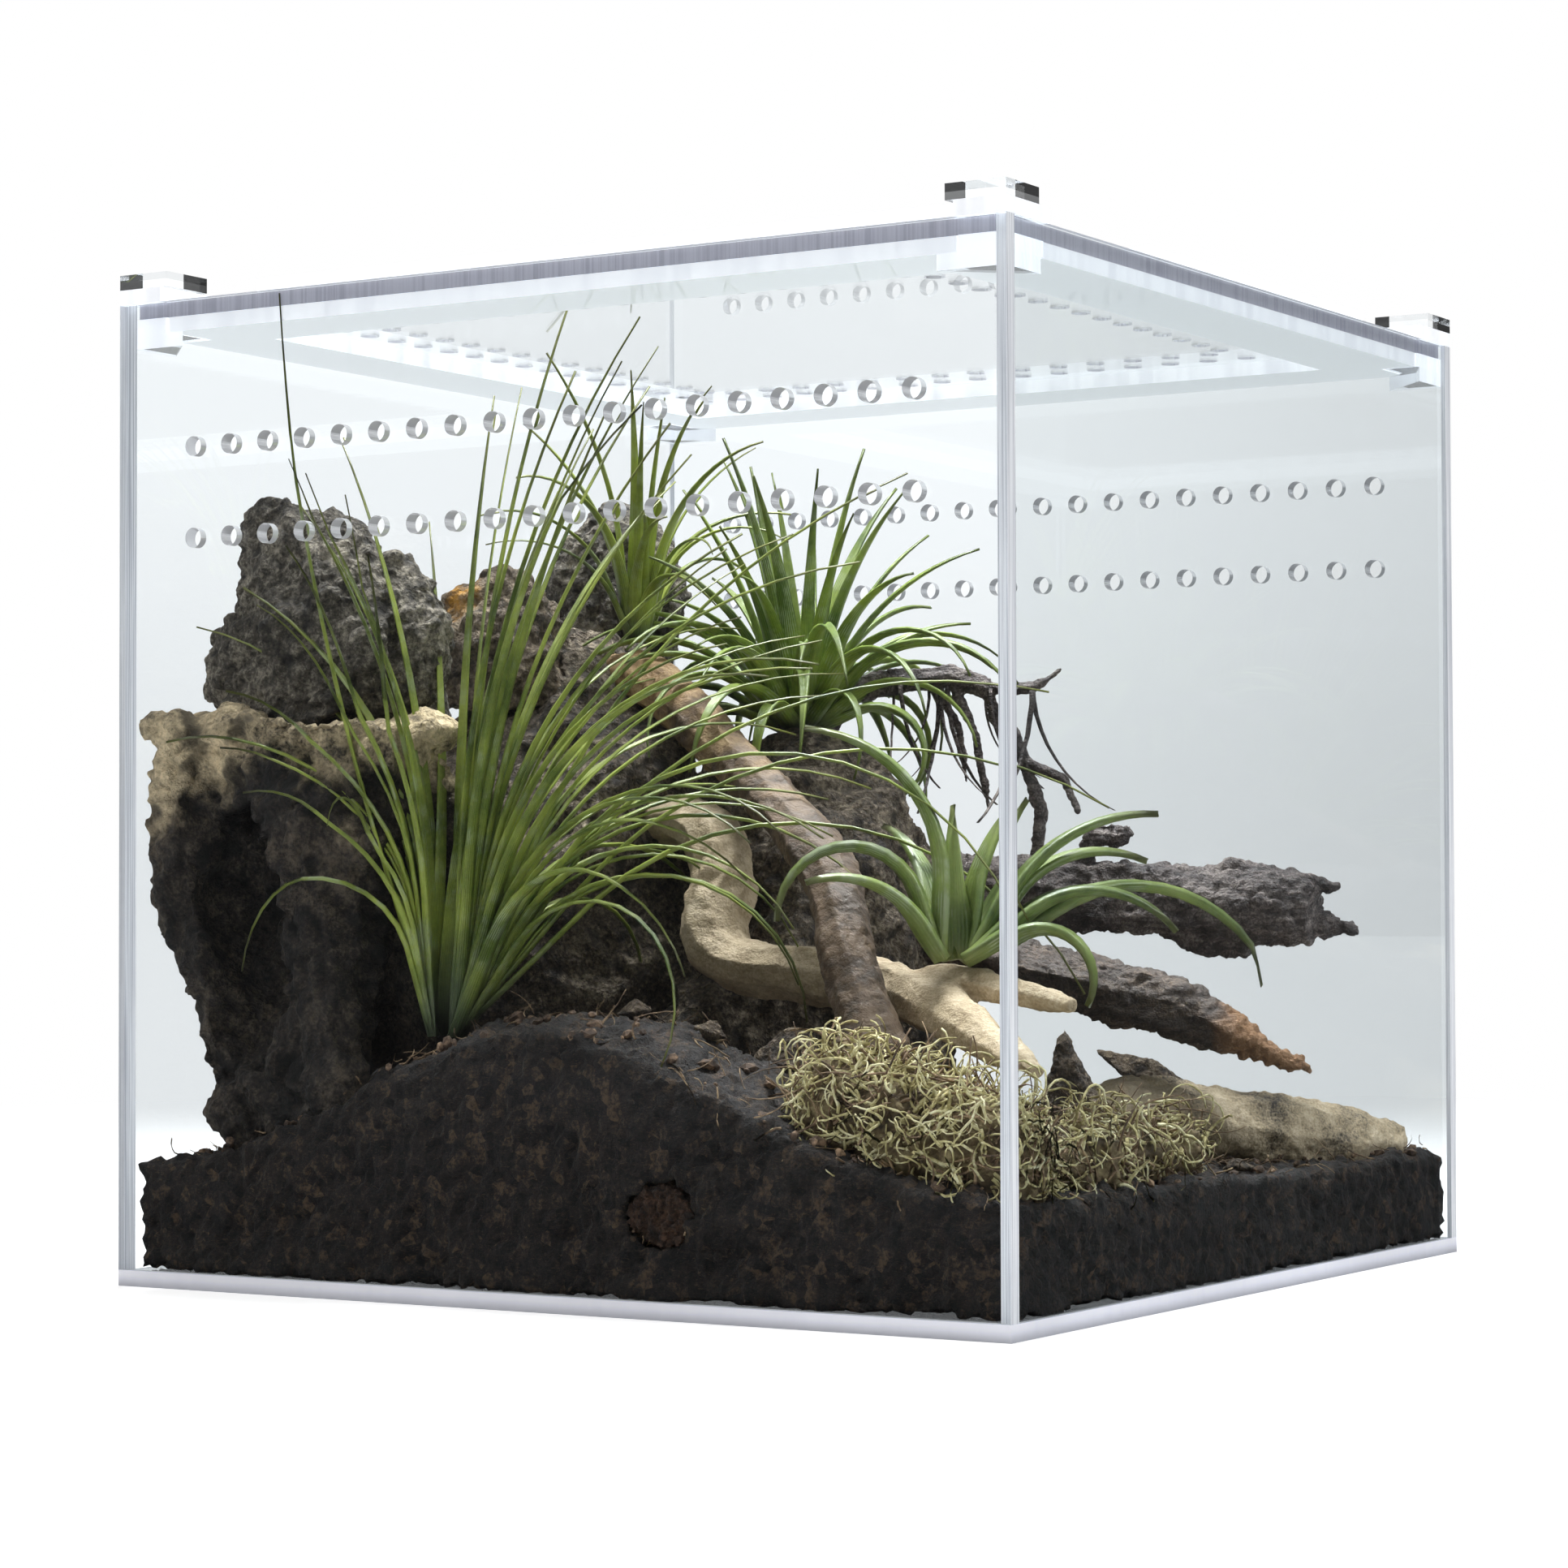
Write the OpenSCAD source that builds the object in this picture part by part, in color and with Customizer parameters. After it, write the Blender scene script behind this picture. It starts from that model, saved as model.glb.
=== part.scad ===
// Clear acrylic terrarium for a small reptile, planted with cork, driftwood, moss and air plants.
// A vented lid lifts off the box and carries blocks at its corners on which a second box stacks.
// Millimetres, +Z up. The origin is at the bottom centre; the front pane faces -Y, the right pane +X.

/* [Box] */
// Outside width and depth of the box
box_w = 203.2; // [190:0.2:240]
// Overall height, from the underside of the base to the top of the stacking blocks
box_h = 203.2; // [190:0.2:240]
// Thickness of the acrylic sheet of the walls
wall_t = 3; // [2:0.5:5]
// Thickness of the base plate
base_t = 3.2; // [3:0.1:6]

/* [Wall vents] */
// Diameter of a vent hole in the front and back walls
vent_d = 4; // [2:0.5:6]
// Distance from one vent hole to the next along a row
vent_pitch = 9.16; // [8:0.02:14]
// Height of the lower row of vents above the table
vent_z = 149.3; // [120:0.1:155]
// Distance between the two rows
vent_row_gap = 18.3; // [10:0.1:22]
// Least distance from a vent's centre to the edge of the box
vent_margin = 15; // [8:1:30]

/* [Lid] */
// Thickness of each layer of the lid
lid_t = 3; // [2:0.5:4]
// Gap between the lid and the walls, on each side
lid_gap = 0.4; // [0.2:0.1:1]
// Width of the square frame under the lid
ring_w = 19.2; // [14:0.2:26]
// Diameter of a vent hole in the lid
lid_hole_d = 4; // [2:0.5:5]
// Distance from one lid hole to the next along a row
lid_pitch = 9.16; // [8:0.02:12]
// Least distance from a lid hole's centre to the frame's inner edge
lid_hole_margin = 5; // [4:0.5:10]
// Side of a square stacking block
block_w = 12.3; // [8:0.1:16]
// Width of a corner pad, along X
pad_w = 10.6; // [8:0.1:14]
// Length of a corner pad, along Y
pad_l = 16; // [10:0.5:24]
// Length of the rail along the lid's front edge
front_rail_l = 159; // [100:1:165]
// Length of the rail along the lid's right edge
side_rail_l = 100; // [60:1:140]
// Width of both rails
rail_w = 9; // [6:0.5:14]
// Gap between the front rail and the corner pad beside it
rail_gap = 1; // [0.5:0.5:4]
// Distance that the side rail's middle lies behind the lid's middle
side_rail_shift = 12; // [0:1:15]

/* [Corner supports] */
// Leg of a triangular corner ledge, along the walls
ledge_leg = 12; // [9:0.5:20]
// Gap between a corner post and the notch in the frame around it
notch_gap = 0.5; // [0.3:0.1:1]

/* [Planting] */
// Depth of the soil away from its mound
soil_low = 22; // [16:1:28]
// Height of the soil's mound at the front pane above the rest
soil_rise = 34; // [24:1:40]
// Radius of the brown driftwood branch
branch_r = 5.6; // [4.5:0.1:6.2]
// Radius of the pale driftwood root
root_r = 6.6; // [5:0.1:7]
// Number of leaves on the tall grassy plant
grass_leaves = 14; // [9:1:24]
// Number of leaves on the spiky plant
spiky_leaves = 15; // [9:1:30]
// Number of leaves on the broad-leaved plant
broad_leaves = 8; // [8:1:12]
// Thickness of a leaf's midrib
leaf_t = 0.9; // [0.6:0.1:1.4]

/* [Hidden] */

half = box_w / 2;
inner = half - wall_t;
// The lid is a stack of equal layers, counted down from the top of the stacking blocks.
block_z = box_h - lid_t;
pad_z = block_z - lid_t;
plate_z = pad_z - lid_t;
frame_z = plate_z - lid_t;
ledge_z = frame_z - lid_t;
wall_h = pad_z - base_t;
lid_half = inner - lid_gap;
frame_in = lid_half - ring_w;
vent_half_count = floor((half - vent_margin) / vent_pitch);
lid_half_count = floor((frame_in - lid_hole_margin) / lid_pitch);
post_w = pad_w - wall_t;
post_l = pad_l - wall_t;
// Room left between a planted piece and a pane
pane_gap = 0.4;
// The landscape lies on a grid: 100 steps from the middle to a pane, and 194 from the table to the lid.
step_across = inner / 100;
step_up = frame_z / 194;
bulk = min(step_across, step_up);
// How far a piece that stands in the soil reaches above the base plate
footing = base_t + 1.5;

clear_acrylic = [0.86, 0.90, 0.94, 0.45];
edge_acrylic = [0.80, 0.83, 0.90, 0.7];
soil_brown = [0.13, 0.09, 0.07];
cork_brown = [0.36, 0.29, 0.22];
cork_grey = [0.42, 0.38, 0.33];
branch_brown = [0.55, 0.42, 0.27];
root_tan = [0.76, 0.66, 0.45];
dark_wood = [0.24, 0.19, 0.16];
moss_straw = [0.62, 0.60, 0.40];
leaf_green = [0.32, 0.48, 0.18];
pale_green = [0.45, 0.58, 0.36];

// ---------- Shapes shared by the landscape ----------

function xyz(p) = [p[0], p[1], p[2]];
function unit(v) = v / norm(v);
function mix(a, b, t) = a + (b - a) * t;

// A place on the landscape's grid, and a limb's knot there with its radius in grid steps or in millimetres.
function spot(p) = [p[0] * step_across, p[1] * step_across, p[2] * step_up];
function knot(p) = concat(spot(p), [p[3] * bulk]);
function knot_mm(p) = concat(spot(p), [p[3]]);

// Slow waves in two angles, from -1 to 1, that make a surface look grown and not turned.
function ripple(a, b, seed) =
    0.5 * sin(3 * a + 47 * seed) * cos(2 * b + 31 * seed)
    + 0.3 * sin(5 * a - 3 * b + 83 * seed)
    + 0.2 * cos(7 * a + 5 * b + 17 * seed);

// Catmull-Rom curve through knots of any number of values, at t from 0 to 1.
function curve(k, t) =
    let (n = len(k) - 1, i = min(floor(t * n), n - 1), u = t * n - i)
    let (a = k[max(i - 1, 0)], b = k[i], c = k[i + 1], d = k[min(i + 2, n)])
    0.5 * (2 * b + (c - a) * u + (2 * a - 5 * b + 4 * c - d) * u * u
        + (3 * b - 3 * c + d - a) * u * u * u);

// A closed skin over rings with equally many points, each ring turning to the left about the way ahead.
module loft(rings) {
    count = len(rings);
    sides = len(rings[0]);
    polyhedron(
        points = [for (ring = rings) each ring],
        faces = concat(
            [[for (j = [0 : sides - 1]) j]],
            [for (i = [0 : count - 2], j = [0 : sides - 1])
                let (a = i * sides + j, b = i * sides + (j + 1) % sides)
                each [[a, a + sides, b + sides], [a, b + sides, b]]],
            [[for (j = [sides - 1 : -1 : 0]) (count - 1) * sides + j]]),
        convexity = 6);
}

// A branch, trunk or root along knots of [x, y, z, radius], with a grown surface.
module limb(knots, rings = 12, sides = 8, rough = 0.1, seed = 1, flat = 1, ref = [0.1, 0.2, 1]) {
    loft([for (i = [0 : rings])
        let (t = i / rings, p = curve(knots, t))
        let (ahead = unit(xyz(curve(knots, min(t + 0.02, 1))) - xyz(curve(knots, max(t - 0.02, 0)))))
        let (side = unit(cross(ahead, ref)), up = cross(ahead, side))
        [for (j = [0 : sides - 1])
            let (a = 360 * j / sides, r = p[3] * (1 + rough * ripple(a, 300 * t, seed)))
            xyz(p) + r * (cos(a) * side + flat * sin(a) * up)]]);
}

// A convex lump of stone, bark or moss around a point.
module lump(middle, size, seed = 1, rings = 5, sides = 8, rough = 0.12) {
    hull() loft([for (i = [0 : rings])
        let (fall = mix(12, 168, i / rings))
        [for (j = [0 : sides - 1])
            let (a = -360 * j / sides, r = bulk * (1 + rough * ripple(a, 2 * fall, seed)))
            middle + r * [size[0] * sin(fall) * cos(a), size[1] * sin(fall) * sin(a), size[2] * cos(fall)]]]);
}

// Lumps given as rows of [middle, size] on the grid.
module lumps(rows, seed = 1, rings = 4, sides = 7) {
    for (i = [0 : len(rows) - 1]) lump(spot(rows[i][0]), rows[i][1], seed + i, rings, sides);
}

// A leaf that starts at a tilt from upright and bends over along its length.
// Across, it is a shallow channel: two edges, a midrib below and a groove above.
module blade(base, heading, tilt, bend, length, width, steps = 5) {
    out = [cos(heading), sin(heading), 0];
    across = [-sin(heading), cos(heading), 0];
    turn = max(bend, 1) * PI / 180;
    loft([for (i = [0 : steps])
        let (s = i / steps, lean = tilt + bend * s)
        let (reach = length / turn * (cos(tilt) - cos(lean)), climb = length / turn * (sin(lean) - sin(tilt)))
        let (up = [-cos(lean) * out[0], -cos(lean) * out[1], sin(lean)])
        let (w = width / 2 * (1 - 0.93 * pow(s, 1.6)), thick = leaf_t * (1 - 0.8 * s))
        let (p = base + reach * out + [0, 0, climb])
        let (rim = p + 0.35 * w * up)
        [rim - w * across, p - thick * up, rim + w * across, p + 0.1 * thick * up]]);
}

// Leaves around a crown. Each value that varies is given as [first, last] and spread over the leaves.
module rosette(middle, count, heading, tilt, bend, length, width, crown_r, steps = 5) {
    for (i = [0 : count - 1]) {
        s = count > 1 ? i / (count - 1) : 0;
        // Golden-angle steps scatter tilt and length, so that neighbours differ.
        f = i * 0.618 - floor(i * 0.618);
        turn = mix(heading[0], heading[1], s);
        start = middle + 0.5 * crown_r * [cos(turn), sin(turn), 0];
        hull() {
            translate(middle - [0, 0, crown_r]) cylinder(h = crown_r / 2, r = 0.5 * crown_r, $fn = 5);
            translate(start) cylinder(h = 0.6 * crown_r, r = 0.4 * crown_r, $fn = 4);
        }
        blade(start, turn, mix(tilt[0], tilt[1], f), mix(bend[0], bend[1], f),
            bulk * mix(length[0], length[1], f), width, steps);
    }
}

// ---------- Box ----------

module base_plate() {
    color(edge_acrylic) translate([-half, -half, 0]) cube([box_w, box_w, base_t]);
}

// A pane across the whole width, with its two rows of vents.
module vented_pane() {
    difference() {
        translate([-half, 0, base_t]) cube([box_w, wall_t, wall_h]);
        for (row = [0, 1], i = [-vent_half_count : vent_half_count])
            translate([i * vent_pitch, -1, vent_z + row * vent_row_gap])
                rotate([-90, 0, 0]) cylinder(h = wall_t + 2, d = vent_d, $fn = 24);
    }
}

module front_wall() {
    color(clear_acrylic) translate([0, -half, 0]) vented_pane();
}

module back_wall() {
    color(clear_acrylic) translate([0, inner, 0]) vented_pane();
}

// A plain pane that stands between the front and back walls.
module side_pane() {
    translate([0, -inner, base_t]) cube([wall_t, 2 * inner, wall_h]);
}

module left_wall() {
    color(clear_acrylic) translate([-half, 0, 0]) side_pane();
}

module right_wall() {
    color(clear_acrylic) translate([inner, 0, 0]) side_pane();
}

// Copies what is drawn at the front left corner to all four.
module at_corners() {
    for (a = [0, 1], b = [0, 1]) mirror([a, 0, 0]) mirror([0, b, 0]) children();
}

module corner_ledges() {
    color(clear_acrylic) at_corners()
        translate([-inner, -inner, ledge_z])
            linear_extrude(lid_t) polygon([[0, 0], [ledge_leg, 0], [0, ledge_leg]]);
}

// Posts on the ledges, glued to the walls, that the lid plate rests on.
module corner_posts() {
    color(clear_acrylic) at_corners()
        translate([-inner, -inner, frame_z]) cube([post_w, post_l, lid_t]);
}

// ---------- Lid ----------

module lid_hole(x, y) {
    translate([x, y, plate_z - 1]) cylinder(h = lid_t + 2, d = lid_hole_d, $fn = 24);
}

// Two square rows of holes, the inner one half a pitch out of step with the outer one.
module lid_plate() {
    n = lid_half_count;
    color(clear_acrylic) difference() {
        translate([-lid_half, -lid_half, plate_z]) cube([2 * lid_half, 2 * lid_half, lid_t]);
        for (i = [-n : n - 1], turn = [0 : 90 : 270])
            rotate([0, 0, turn]) lid_hole(i * lid_pitch, -n * lid_pitch);
        for (i = [-n + 1 : n - 2], turn = [0 : 90 : 270])
            rotate([0, 0, turn]) lid_hole((i + 0.5) * lid_pitch, -(n - 1) * lid_pitch);
    }
}

// The frame glued under the lid plate keeps it in place between the walls.
module lid_frame() {
    color(edge_acrylic) difference() {
        translate([-lid_half, -lid_half, frame_z]) cube([2 * lid_half, 2 * lid_half, lid_t]);
        translate([-frame_in, -frame_in, frame_z - 1]) cube([2 * frame_in, 2 * frame_in, lid_t + 2]);
        at_corners() translate([-half, -half, frame_z - 1])
            cube([pad_w + notch_gap, pad_l + notch_gap, lid_t + 2]);
    }
}

module front_rail() {
    color(edge_acrylic) translate([half - pad_w - rail_gap - front_rail_l, -lid_half, pad_z])
        cube([front_rail_l, rail_w, lid_t]);
}

module side_rail() {
    color(edge_acrylic) translate([lid_half - rail_w, side_rail_shift - side_rail_l / 2, pad_z])
        cube([rail_w, side_rail_l, lid_t]);
}

// Pads glued to the lid plate's corners, which reach out over the rims of the walls.
module corner_pads() {
    color(clear_acrylic) at_corners() translate([-half, -half, pad_z]) cube([pad_w, pad_l, lid_t]);
}

module stacking_blocks() {
    color(clear_acrylic) at_corners() translate([-half, -half, block_z]) cube([block_w, block_w, lid_t]);
}

// Cuts what presses against the panes flat, a hair's breadth from the acrylic.
module within_panes() {
    reach = inner - pane_gap;
    intersection() {
        children();
        translate([-reach, -reach, footing]) cube([2 * reach, 2 * reach, frame_z - footing]);
    }
}

// ---------- Soil ----------

// A place on or near the soil's surface, which is a mound that leans on the front pane.
function soil_z(x, y) =
    soil_low + soil_rise * exp(-pow((x + 2) / 42, 2) / 2 - pow((y + 82) / 38, 2) / 2)
    + 0.9 * ripple(2.2 * x, 1.7 * y, 3);
function on_soil(x, y, above = 0) = [x * step_across, y * step_across, soil_z(x, y) + above * step_up];

module soil_bed(steps = 12) {
    reach = inner - pane_gap;
    edge = reach / step_across;
    loft([for (i = [0 : steps])
        let (x = mix(-edge, edge, i / steps))
        concat(
            [[x * step_across, -reach, base_t], [x * step_across, reach, base_t]],
            [for (j = [steps : -1 : 0]) on_soil(x, mix(-edge, edge, j / steps))])]);
}

module substrate() {
    color(soil_brown) difference() {
        soil_bed();
        stone_form();
        tube_form();
        mound_form();
        branch_form();
        root_form();
        grounded_form();
        chips_form();
        front_moss_form();
        side_moss_form();
        grassy_plant_form();
    }
}

module stone_form() {
    within_panes() lump([27 * step_across, 4.6 - inner, 0.85 * soil_low], [9, 8, 6.5], seed = 4);
}

module soil_stone() {
    color([0.42, 0.25, 0.16]) stone_form();
}

// ---------- Cork and bark ----------

// A hollow cork trunk in the front left corner, which flares to a broken rim. It is open between two ridges,
// and its bark runs on behind the grassy plant.
module tube_form() {
    trunk = [for (p = [[-68, -84, 0, 17], [-68, -85, 28, 16], [-71, -84, 54, 22], [-72, -82, 82, 27],
        [-71, -80, 102, 30], [-70, -79, 114, 32]]) knot(p)];
    left_ridge = [for (p = [[-92, -92, 114, 8], [-94, -92, 92, 8], [-93, -91, 76, 8], [-84, -90, 60, 6.5],
        [-84, -89, 42, 7], [-76, -88, 26, 7], [-76, -88, 0, 7]]) knot(p)];
    right_ridge = [for (p = [[-64, -87, 106, 8], [-62, -90, 78, 8], [-56, -91, 50, 7], [-50, -92, 0, 7]])
        knot(p)];
    bark_sheet = [for (p = [[-49, -75, 107, 12], [-50, -73, 88, 16], [-50, -71, 66, 17], [-50, -70, 44, 17],
        [-50, -70, 0, 17]]) knot(p)];
    hollow = [for (p = [[-76, -96, 44, 6], [-75, -93, 62, 11], [-76, -90, 82, 13], [-78, -89, 97, 8]])
        knot(p)];
    difference() {
        within_panes() {
            limb(trunk, rings = 9, sides = 11, rough = 0.13, seed = 2, flat = 0.55, ref = [0.2, 1, 0]);
            limb(left_ridge, rings = 10, sides = 6, rough = 0.2, seed = 4);
            limb(right_ridge, rings = 8, sides = 6, rough = 0.2, seed = 8);
            limb(bark_sheet, rings = 6, sides = 6, rough = 0.16, seed = 10, flat = 0.4, ref = [0.2, 1, 0]);
            lumps([for (a = [-120 : 40 : 0])
                [[-70 + 27 * cos(a), -79 + 14 * sin(a), 111 + 2 * sin(2 * a)], [9, 7, 5]]],
                seed = 5, rings = 3, sides = 6);
            lumps([for (z = [113, 103]) [[-95, -95, z], [7, 7, 4]]], seed = 15, rings = 3, sides = 6);
        }
        limb(hollow, rings = 6, sides = 8, rough = 0.2, seed = 6, ref = [0.2, 1, 0]);
    }
}

// Broken cork stands on the rim, and the bark behind it is piled up in crags.
module crag(knots, rings, sides, seed, flat = 0.9) {
    limb([for (p = knots) knot(p)], rings = rings, sides = sides, rough = 0.2, seed = seed, flat = flat,
        ref = [0.2, 1, 0]);
}

module tower_form() {
    within_panes() {
        crag([[-74, -75, 112, 25], [-76, -74, 127, 27], [-78, -73, 142, 22], [-84, -73, 153, 14],
            [-86, -73, 161, 6]], rings = 10, sides = 11, seed = 11, flat = 0.55);
        crag([[-58, -70, 112, 11], [-55, -70, 134, 11], [-58, -70, 148, 4]], rings = 6, sides = 8, seed = 12);
    }
}

module knob_form() {
    crag([[-74, -12, 120, 17], [-73, -12, 134, 19], [-70, -12, 145, 12], [-69, -12, 151, 4]], rings = 8,
        sides = 10, seed = 21, flat = 0.75);
}

module crest_form() {
    crag([[-70, 26, 128, 17], [-68, 26, 147, 19], [-66, 26, 161, 13], [-65, 26, 168, 5]], rings = 8,
        sides = 10, seed = 31, flat = 0.75);
}

module mound_form() {
    within_panes() {
        crag([[-60, -6, 0, 38], [-60, -8, 40, 42], [-61, -6, 78, 40], [-62, 2, 104, 33],
            [-64, 8, 124, 22], [-64, 12, 136, 10]], rings = 11, sides = 12, seed = 41);
        crag([[-16, 6, 0, 34], [-14, 8, 40, 38], [-12, 12, 72, 36], [-14, 15, 96, 28], [-16, 18, 111, 13]],
            rings = 10, sides = 11, seed = 42);
    }
}

module cork_tube() {
    color(cork_brown) difference() {
        tube_form();
        tower_form();
        grassy_plant_form();
    }
}

module cork_tower() {
    color(cork_grey) difference() {
        tower_form();
        grassy_plant_form();
    }
}

module cork_knob() {
    color(cork_grey) difference() {
        knob_form();
        branch_form();
        wispy_plant_form();
    }
}

module cork_crest() {
    color(cork_grey) difference() {
        crest_form();
        spiky_plant_form();
    }
}

module bark_mound() {
    color(cork_brown) difference() {
        mound_form();
        knob_form();
        crest_form();
        branch_form();
        root_form();
        spider_form();
        log_form();
        slab_form();
        spiky_plant_form();
        wispy_plant_form();
        tube_form();
    }
}

// ---------- Driftwood ----------

module branch_form() {
    r = branch_r;
    limb([for (p = [[-57, 2, 127, 0.7 * r], [-45, -1, 127, r], [-32, -5, 122, 1.1 * r], [-12, -14, 109, r],
        [7, -24, 97, r], [25, -36, 85, 1.1 * r], [35, -46, 75, r], [43, -54, 62, r],
        [51, -60, 48, 1.2 * r], [54, -62, 30, 1.1 * r]]) knot_mm(p)],
        rings = 18, sides = 8, rough = 0.09, seed = 3);
}

// The root forks near the corner, and both ends are splintered to a point.
module root_form() {
    r = root_r;
    limb([for (p = [[-48, -8, 94, 0.8 * r], [-19, -16, 94.5, r], [-8, -22, 84, 1.1 * r],
        [-7, -27, 73, 1.1 * r], [0, -30, 65, r], [20, -33, 63, r], [43, -38, 60, 0.95 * r],
        [68, -54, 54, 0.8 * r], [89, -70, 46, 0.3 * r]]) knot_mm(p)],
        rings = 18, sides = 8, rough = 0.1, seed = 7, flat = 0.9);
    limb([for (p = [[38, -36, 60, 0.6 * r], [58, -42, 62, 0.6 * r], [74, -48, 60, 0.45 * r],
        [88, -54, 58, 0.2 * r]]) knot_mm(p)], rings = 7, sides = 6, rough = 0.15, seed = 17);
}

// A dead root with side roots that hang from it. Each is a chain of short tapering lengths.
module strand(points, r1, r2) {
    n = len(points) - 1;
    for (i = [0 : n - 1]) hull() {
        translate(spot(points[i])) sphere(r = bulk * mix(r1, r2, i / n), $fn = 6);
        translate(spot(points[i + 1])) sphere(r = bulk * mix(r1, r2, (i + 1) / n), $fn = 6);
    }
}

module spider_form() {
    strand([[-16, 26, 112], [-8, 31, 124], [2, 35, 126], [12, 39, 127], [20, 41, 124]], 3.4, 2.4);
    strand([[20, 41, 124], [28, 43, 124], [34, 45, 128]], 1.6, 0.7);
    strand([[8, 38, 126], [13, 41, 116], [14, 43, 104]], 1.7, 0.7);
    strand([[12, 39, 127], [18, 40, 114], [20, 42, 98]], 1.7, 0.7);
    strand([[20, 41, 124], [25, 45, 108], [28, 47, 97], [25, 49, 84]], 1.8, 1.6);
    strand([[25, 45, 108], [34, 46, 104], [37, 47, 97]], 1.4, 0.7);
}

// A log with a torn end, the stub of a side branch on it, and a strip of bark that hangs under it.
module log_form() {
    limb([for (p = [[-4, 34, 84, 7], [20, 46, 80, 7.6], [50, 51, 78, 8.2], [74, 54, 76.5, 8.8],
        [88, 57, 75.5, 7.4]]) knot(p)], rings = 14, sides = 9, rough = 0.16, seed = 9);
    strand([[36, 49, 84], [41, 47, 92], [48, 47, 92]], 2.4, 2.8);
    strand([[84, 57, 80], [93, 59, 81]], 3.4, 1);
    strand([[84, 57, 73], [96, 60, 71]], 4, 1);
    strand([[54, 51, 73], [66, 52, 67], [74, 53, 67]], 3.4, 1.6);
}

module slab_form() {
    limb([for (p = [[12, 14, 68, 8], [41, 24, 61.5, 9.5], [56, 28, 58, 9.5], [70, 31, 54.5, 9],
        [84, 34, 47.5, 5.5], [96, 37, 42.5, 1.8]]) knot(p)],
        rings = 12, sides = 8, rough = 0.16, seed = 13, flat = 0.68);
}

// Pale wood whose near end rises from the soil in a knee.
module grounded_form() {
    limb([for (p = [[45, 18, 3, 5], [52, 27, 10, 7], [62, 38, 9, 8.5], [76, 52, 6, 8.5], [86, 70, 3.5, 7.5],
        [91, 91, 2, 4.5]])
        concat(on_soil(p[0], p[1], p[2]), [p[3] * bulk])], rings = 12, sides = 8, rough = 0.1, seed = 15);
}

module driftwood_branch() {
    color(branch_brown) difference() {
        branch_form();
        grassy_plant_form();
    }
}

module driftwood_root() {
    color(root_tan) root_form();
}

module spider_root() {
    color(dark_wood) difference() {
        spider_form();
        log_form();
        spiky_plant_form();
    }
}

module bark_log() {
    color(dark_wood) log_form();
}

module bark_slab() {
    color(dark_wood) slab_form();
}

module grounded_wood() {
    color(root_tan) grounded_form();
}

// Chips of bark that lie half sunk in the soil, a stony lump at the branch's foot, an upright stump,
// and a larger flake that leans on the pale wood.
module chip(middle, size, turn, seed) {
    translate(middle) rotate(turn) lump([0, 0, 0], size, seed = seed, rings = 2, sides = 6, rough = 0.3);
}

module chips_form() {
    places = [[60, -34], [67, -16], [44, -14], [45, -44], [20, -71], [8, -78], [1, -60], [90, 14]];
    for (i = [0 : len(places) - 1])
        chip(on_soil(places[i][0], places[i][1], 0.8), [5.5 - 0.3 * i, 3.6, 2],
            turn = [16 * sin(77 * i), 14 * cos(50 * i), 67 * i], seed = 70 + i);
    chip(on_soil(31, -57, 3.5), [9.5, 7, 6], turn = [0, 8, -20], seed = 79);
    chip(on_soil(59, 1, 12), [6.5, 5, 15], turn = [6, -7, 30], seed = 81);
    chip(on_soil(57, 42, 9) + [0, 0, 9 * bulk], [12, 6, 3.6], turn = [12, 24, 6], seed = 83);
}

module bark_chips() {
    color(cork_brown) difference() {
        chips_form();
        grounded_form();
    }
}

// ---------- Moss ----------

// A clump of moss on the soil, as overlapping tufts along a line.
module moss_bank(from, to, size, tufts, seed) {
    for (i = [0 : tufts - 1])
        let (s = i / (tufts - 1), wander = 5 * ripple(90 * i, 40 * i, seed))
        let (x = mix(from[0], to[0], s) + wander, y = mix(from[1], to[1], s) - 0.5 * wander)
        lump(on_soil(x, y, 0.4 * size[2]), size, seed + i, rings = 3, sides = 6, rough = 0.25);
}

module front_moss_form() {
    moss_bank([60, -85], [88, -84], [10, 10, 12], 7, 51);
}

module side_moss_form() {
    moss_bank([86, -62], [84, -8], [9, 11, 8], 6, 61);
}

module front_moss() {
    color(moss_straw) difference() {
        front_moss_form();
        branch_form();
        root_form();
    }
}

module side_moss() {
    color(moss_straw) difference() {
        side_moss_form();
        front_moss_form();
        grounded_form();
        chips_form();
    }
}

// ---------- Air plants ----------

module grassy_plant_form() {
    crown = on_soil(-34, -84, 2);
    rosette(crown, grass_leaves, heading = [-8, 78], tilt = [5, 24], bend = [18, 84], length = [130, 88],
        width = 3, crown_r = 5);
    rosette(crown, floor(grass_leaves / 3), heading = [104, 168], tilt = [6, 18], bend = [8, 36],
        length = [126, 90], width = 3, crown_r = 5);
}

module spiky_plant_form() {
    rosette(spot([-14, 18, 113]), spiky_leaves, heading = [-150, 150], tilt = [8, 52], bend = [16, 46],
        length = [68, 52], width = 4.6, crown_r = 6, steps = 4);
}

module wispy_plant_form() {
    rosette(spot([-46, 4, 134]), 8, heading = [-75, 5], tilt = [10, 30], bend = [10, 46],
        length = [56, 44], width = 2.4, crown_r = 4, steps = 4);
}

module broad_plant_form() {
    rosette(spot([62, -48, 66]), broad_leaves, heading = [44, 232], tilt = [18, 48], bend = [60, 92],
        length = [60, 48], width = 7, crown_r = 5.5);
}

module grassy_plant() {
    color(leaf_green) grassy_plant_form();
}

module spiky_plant() {
    color(leaf_green) spiky_plant_form();
}

module wispy_plant() {
    color(pale_green) difference() {
        wispy_plant_form();
        branch_form();
    }
}

module broad_plant() {
    color(pale_green) difference() {
        broad_plant_form();
        root_form();
    }
}

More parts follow.
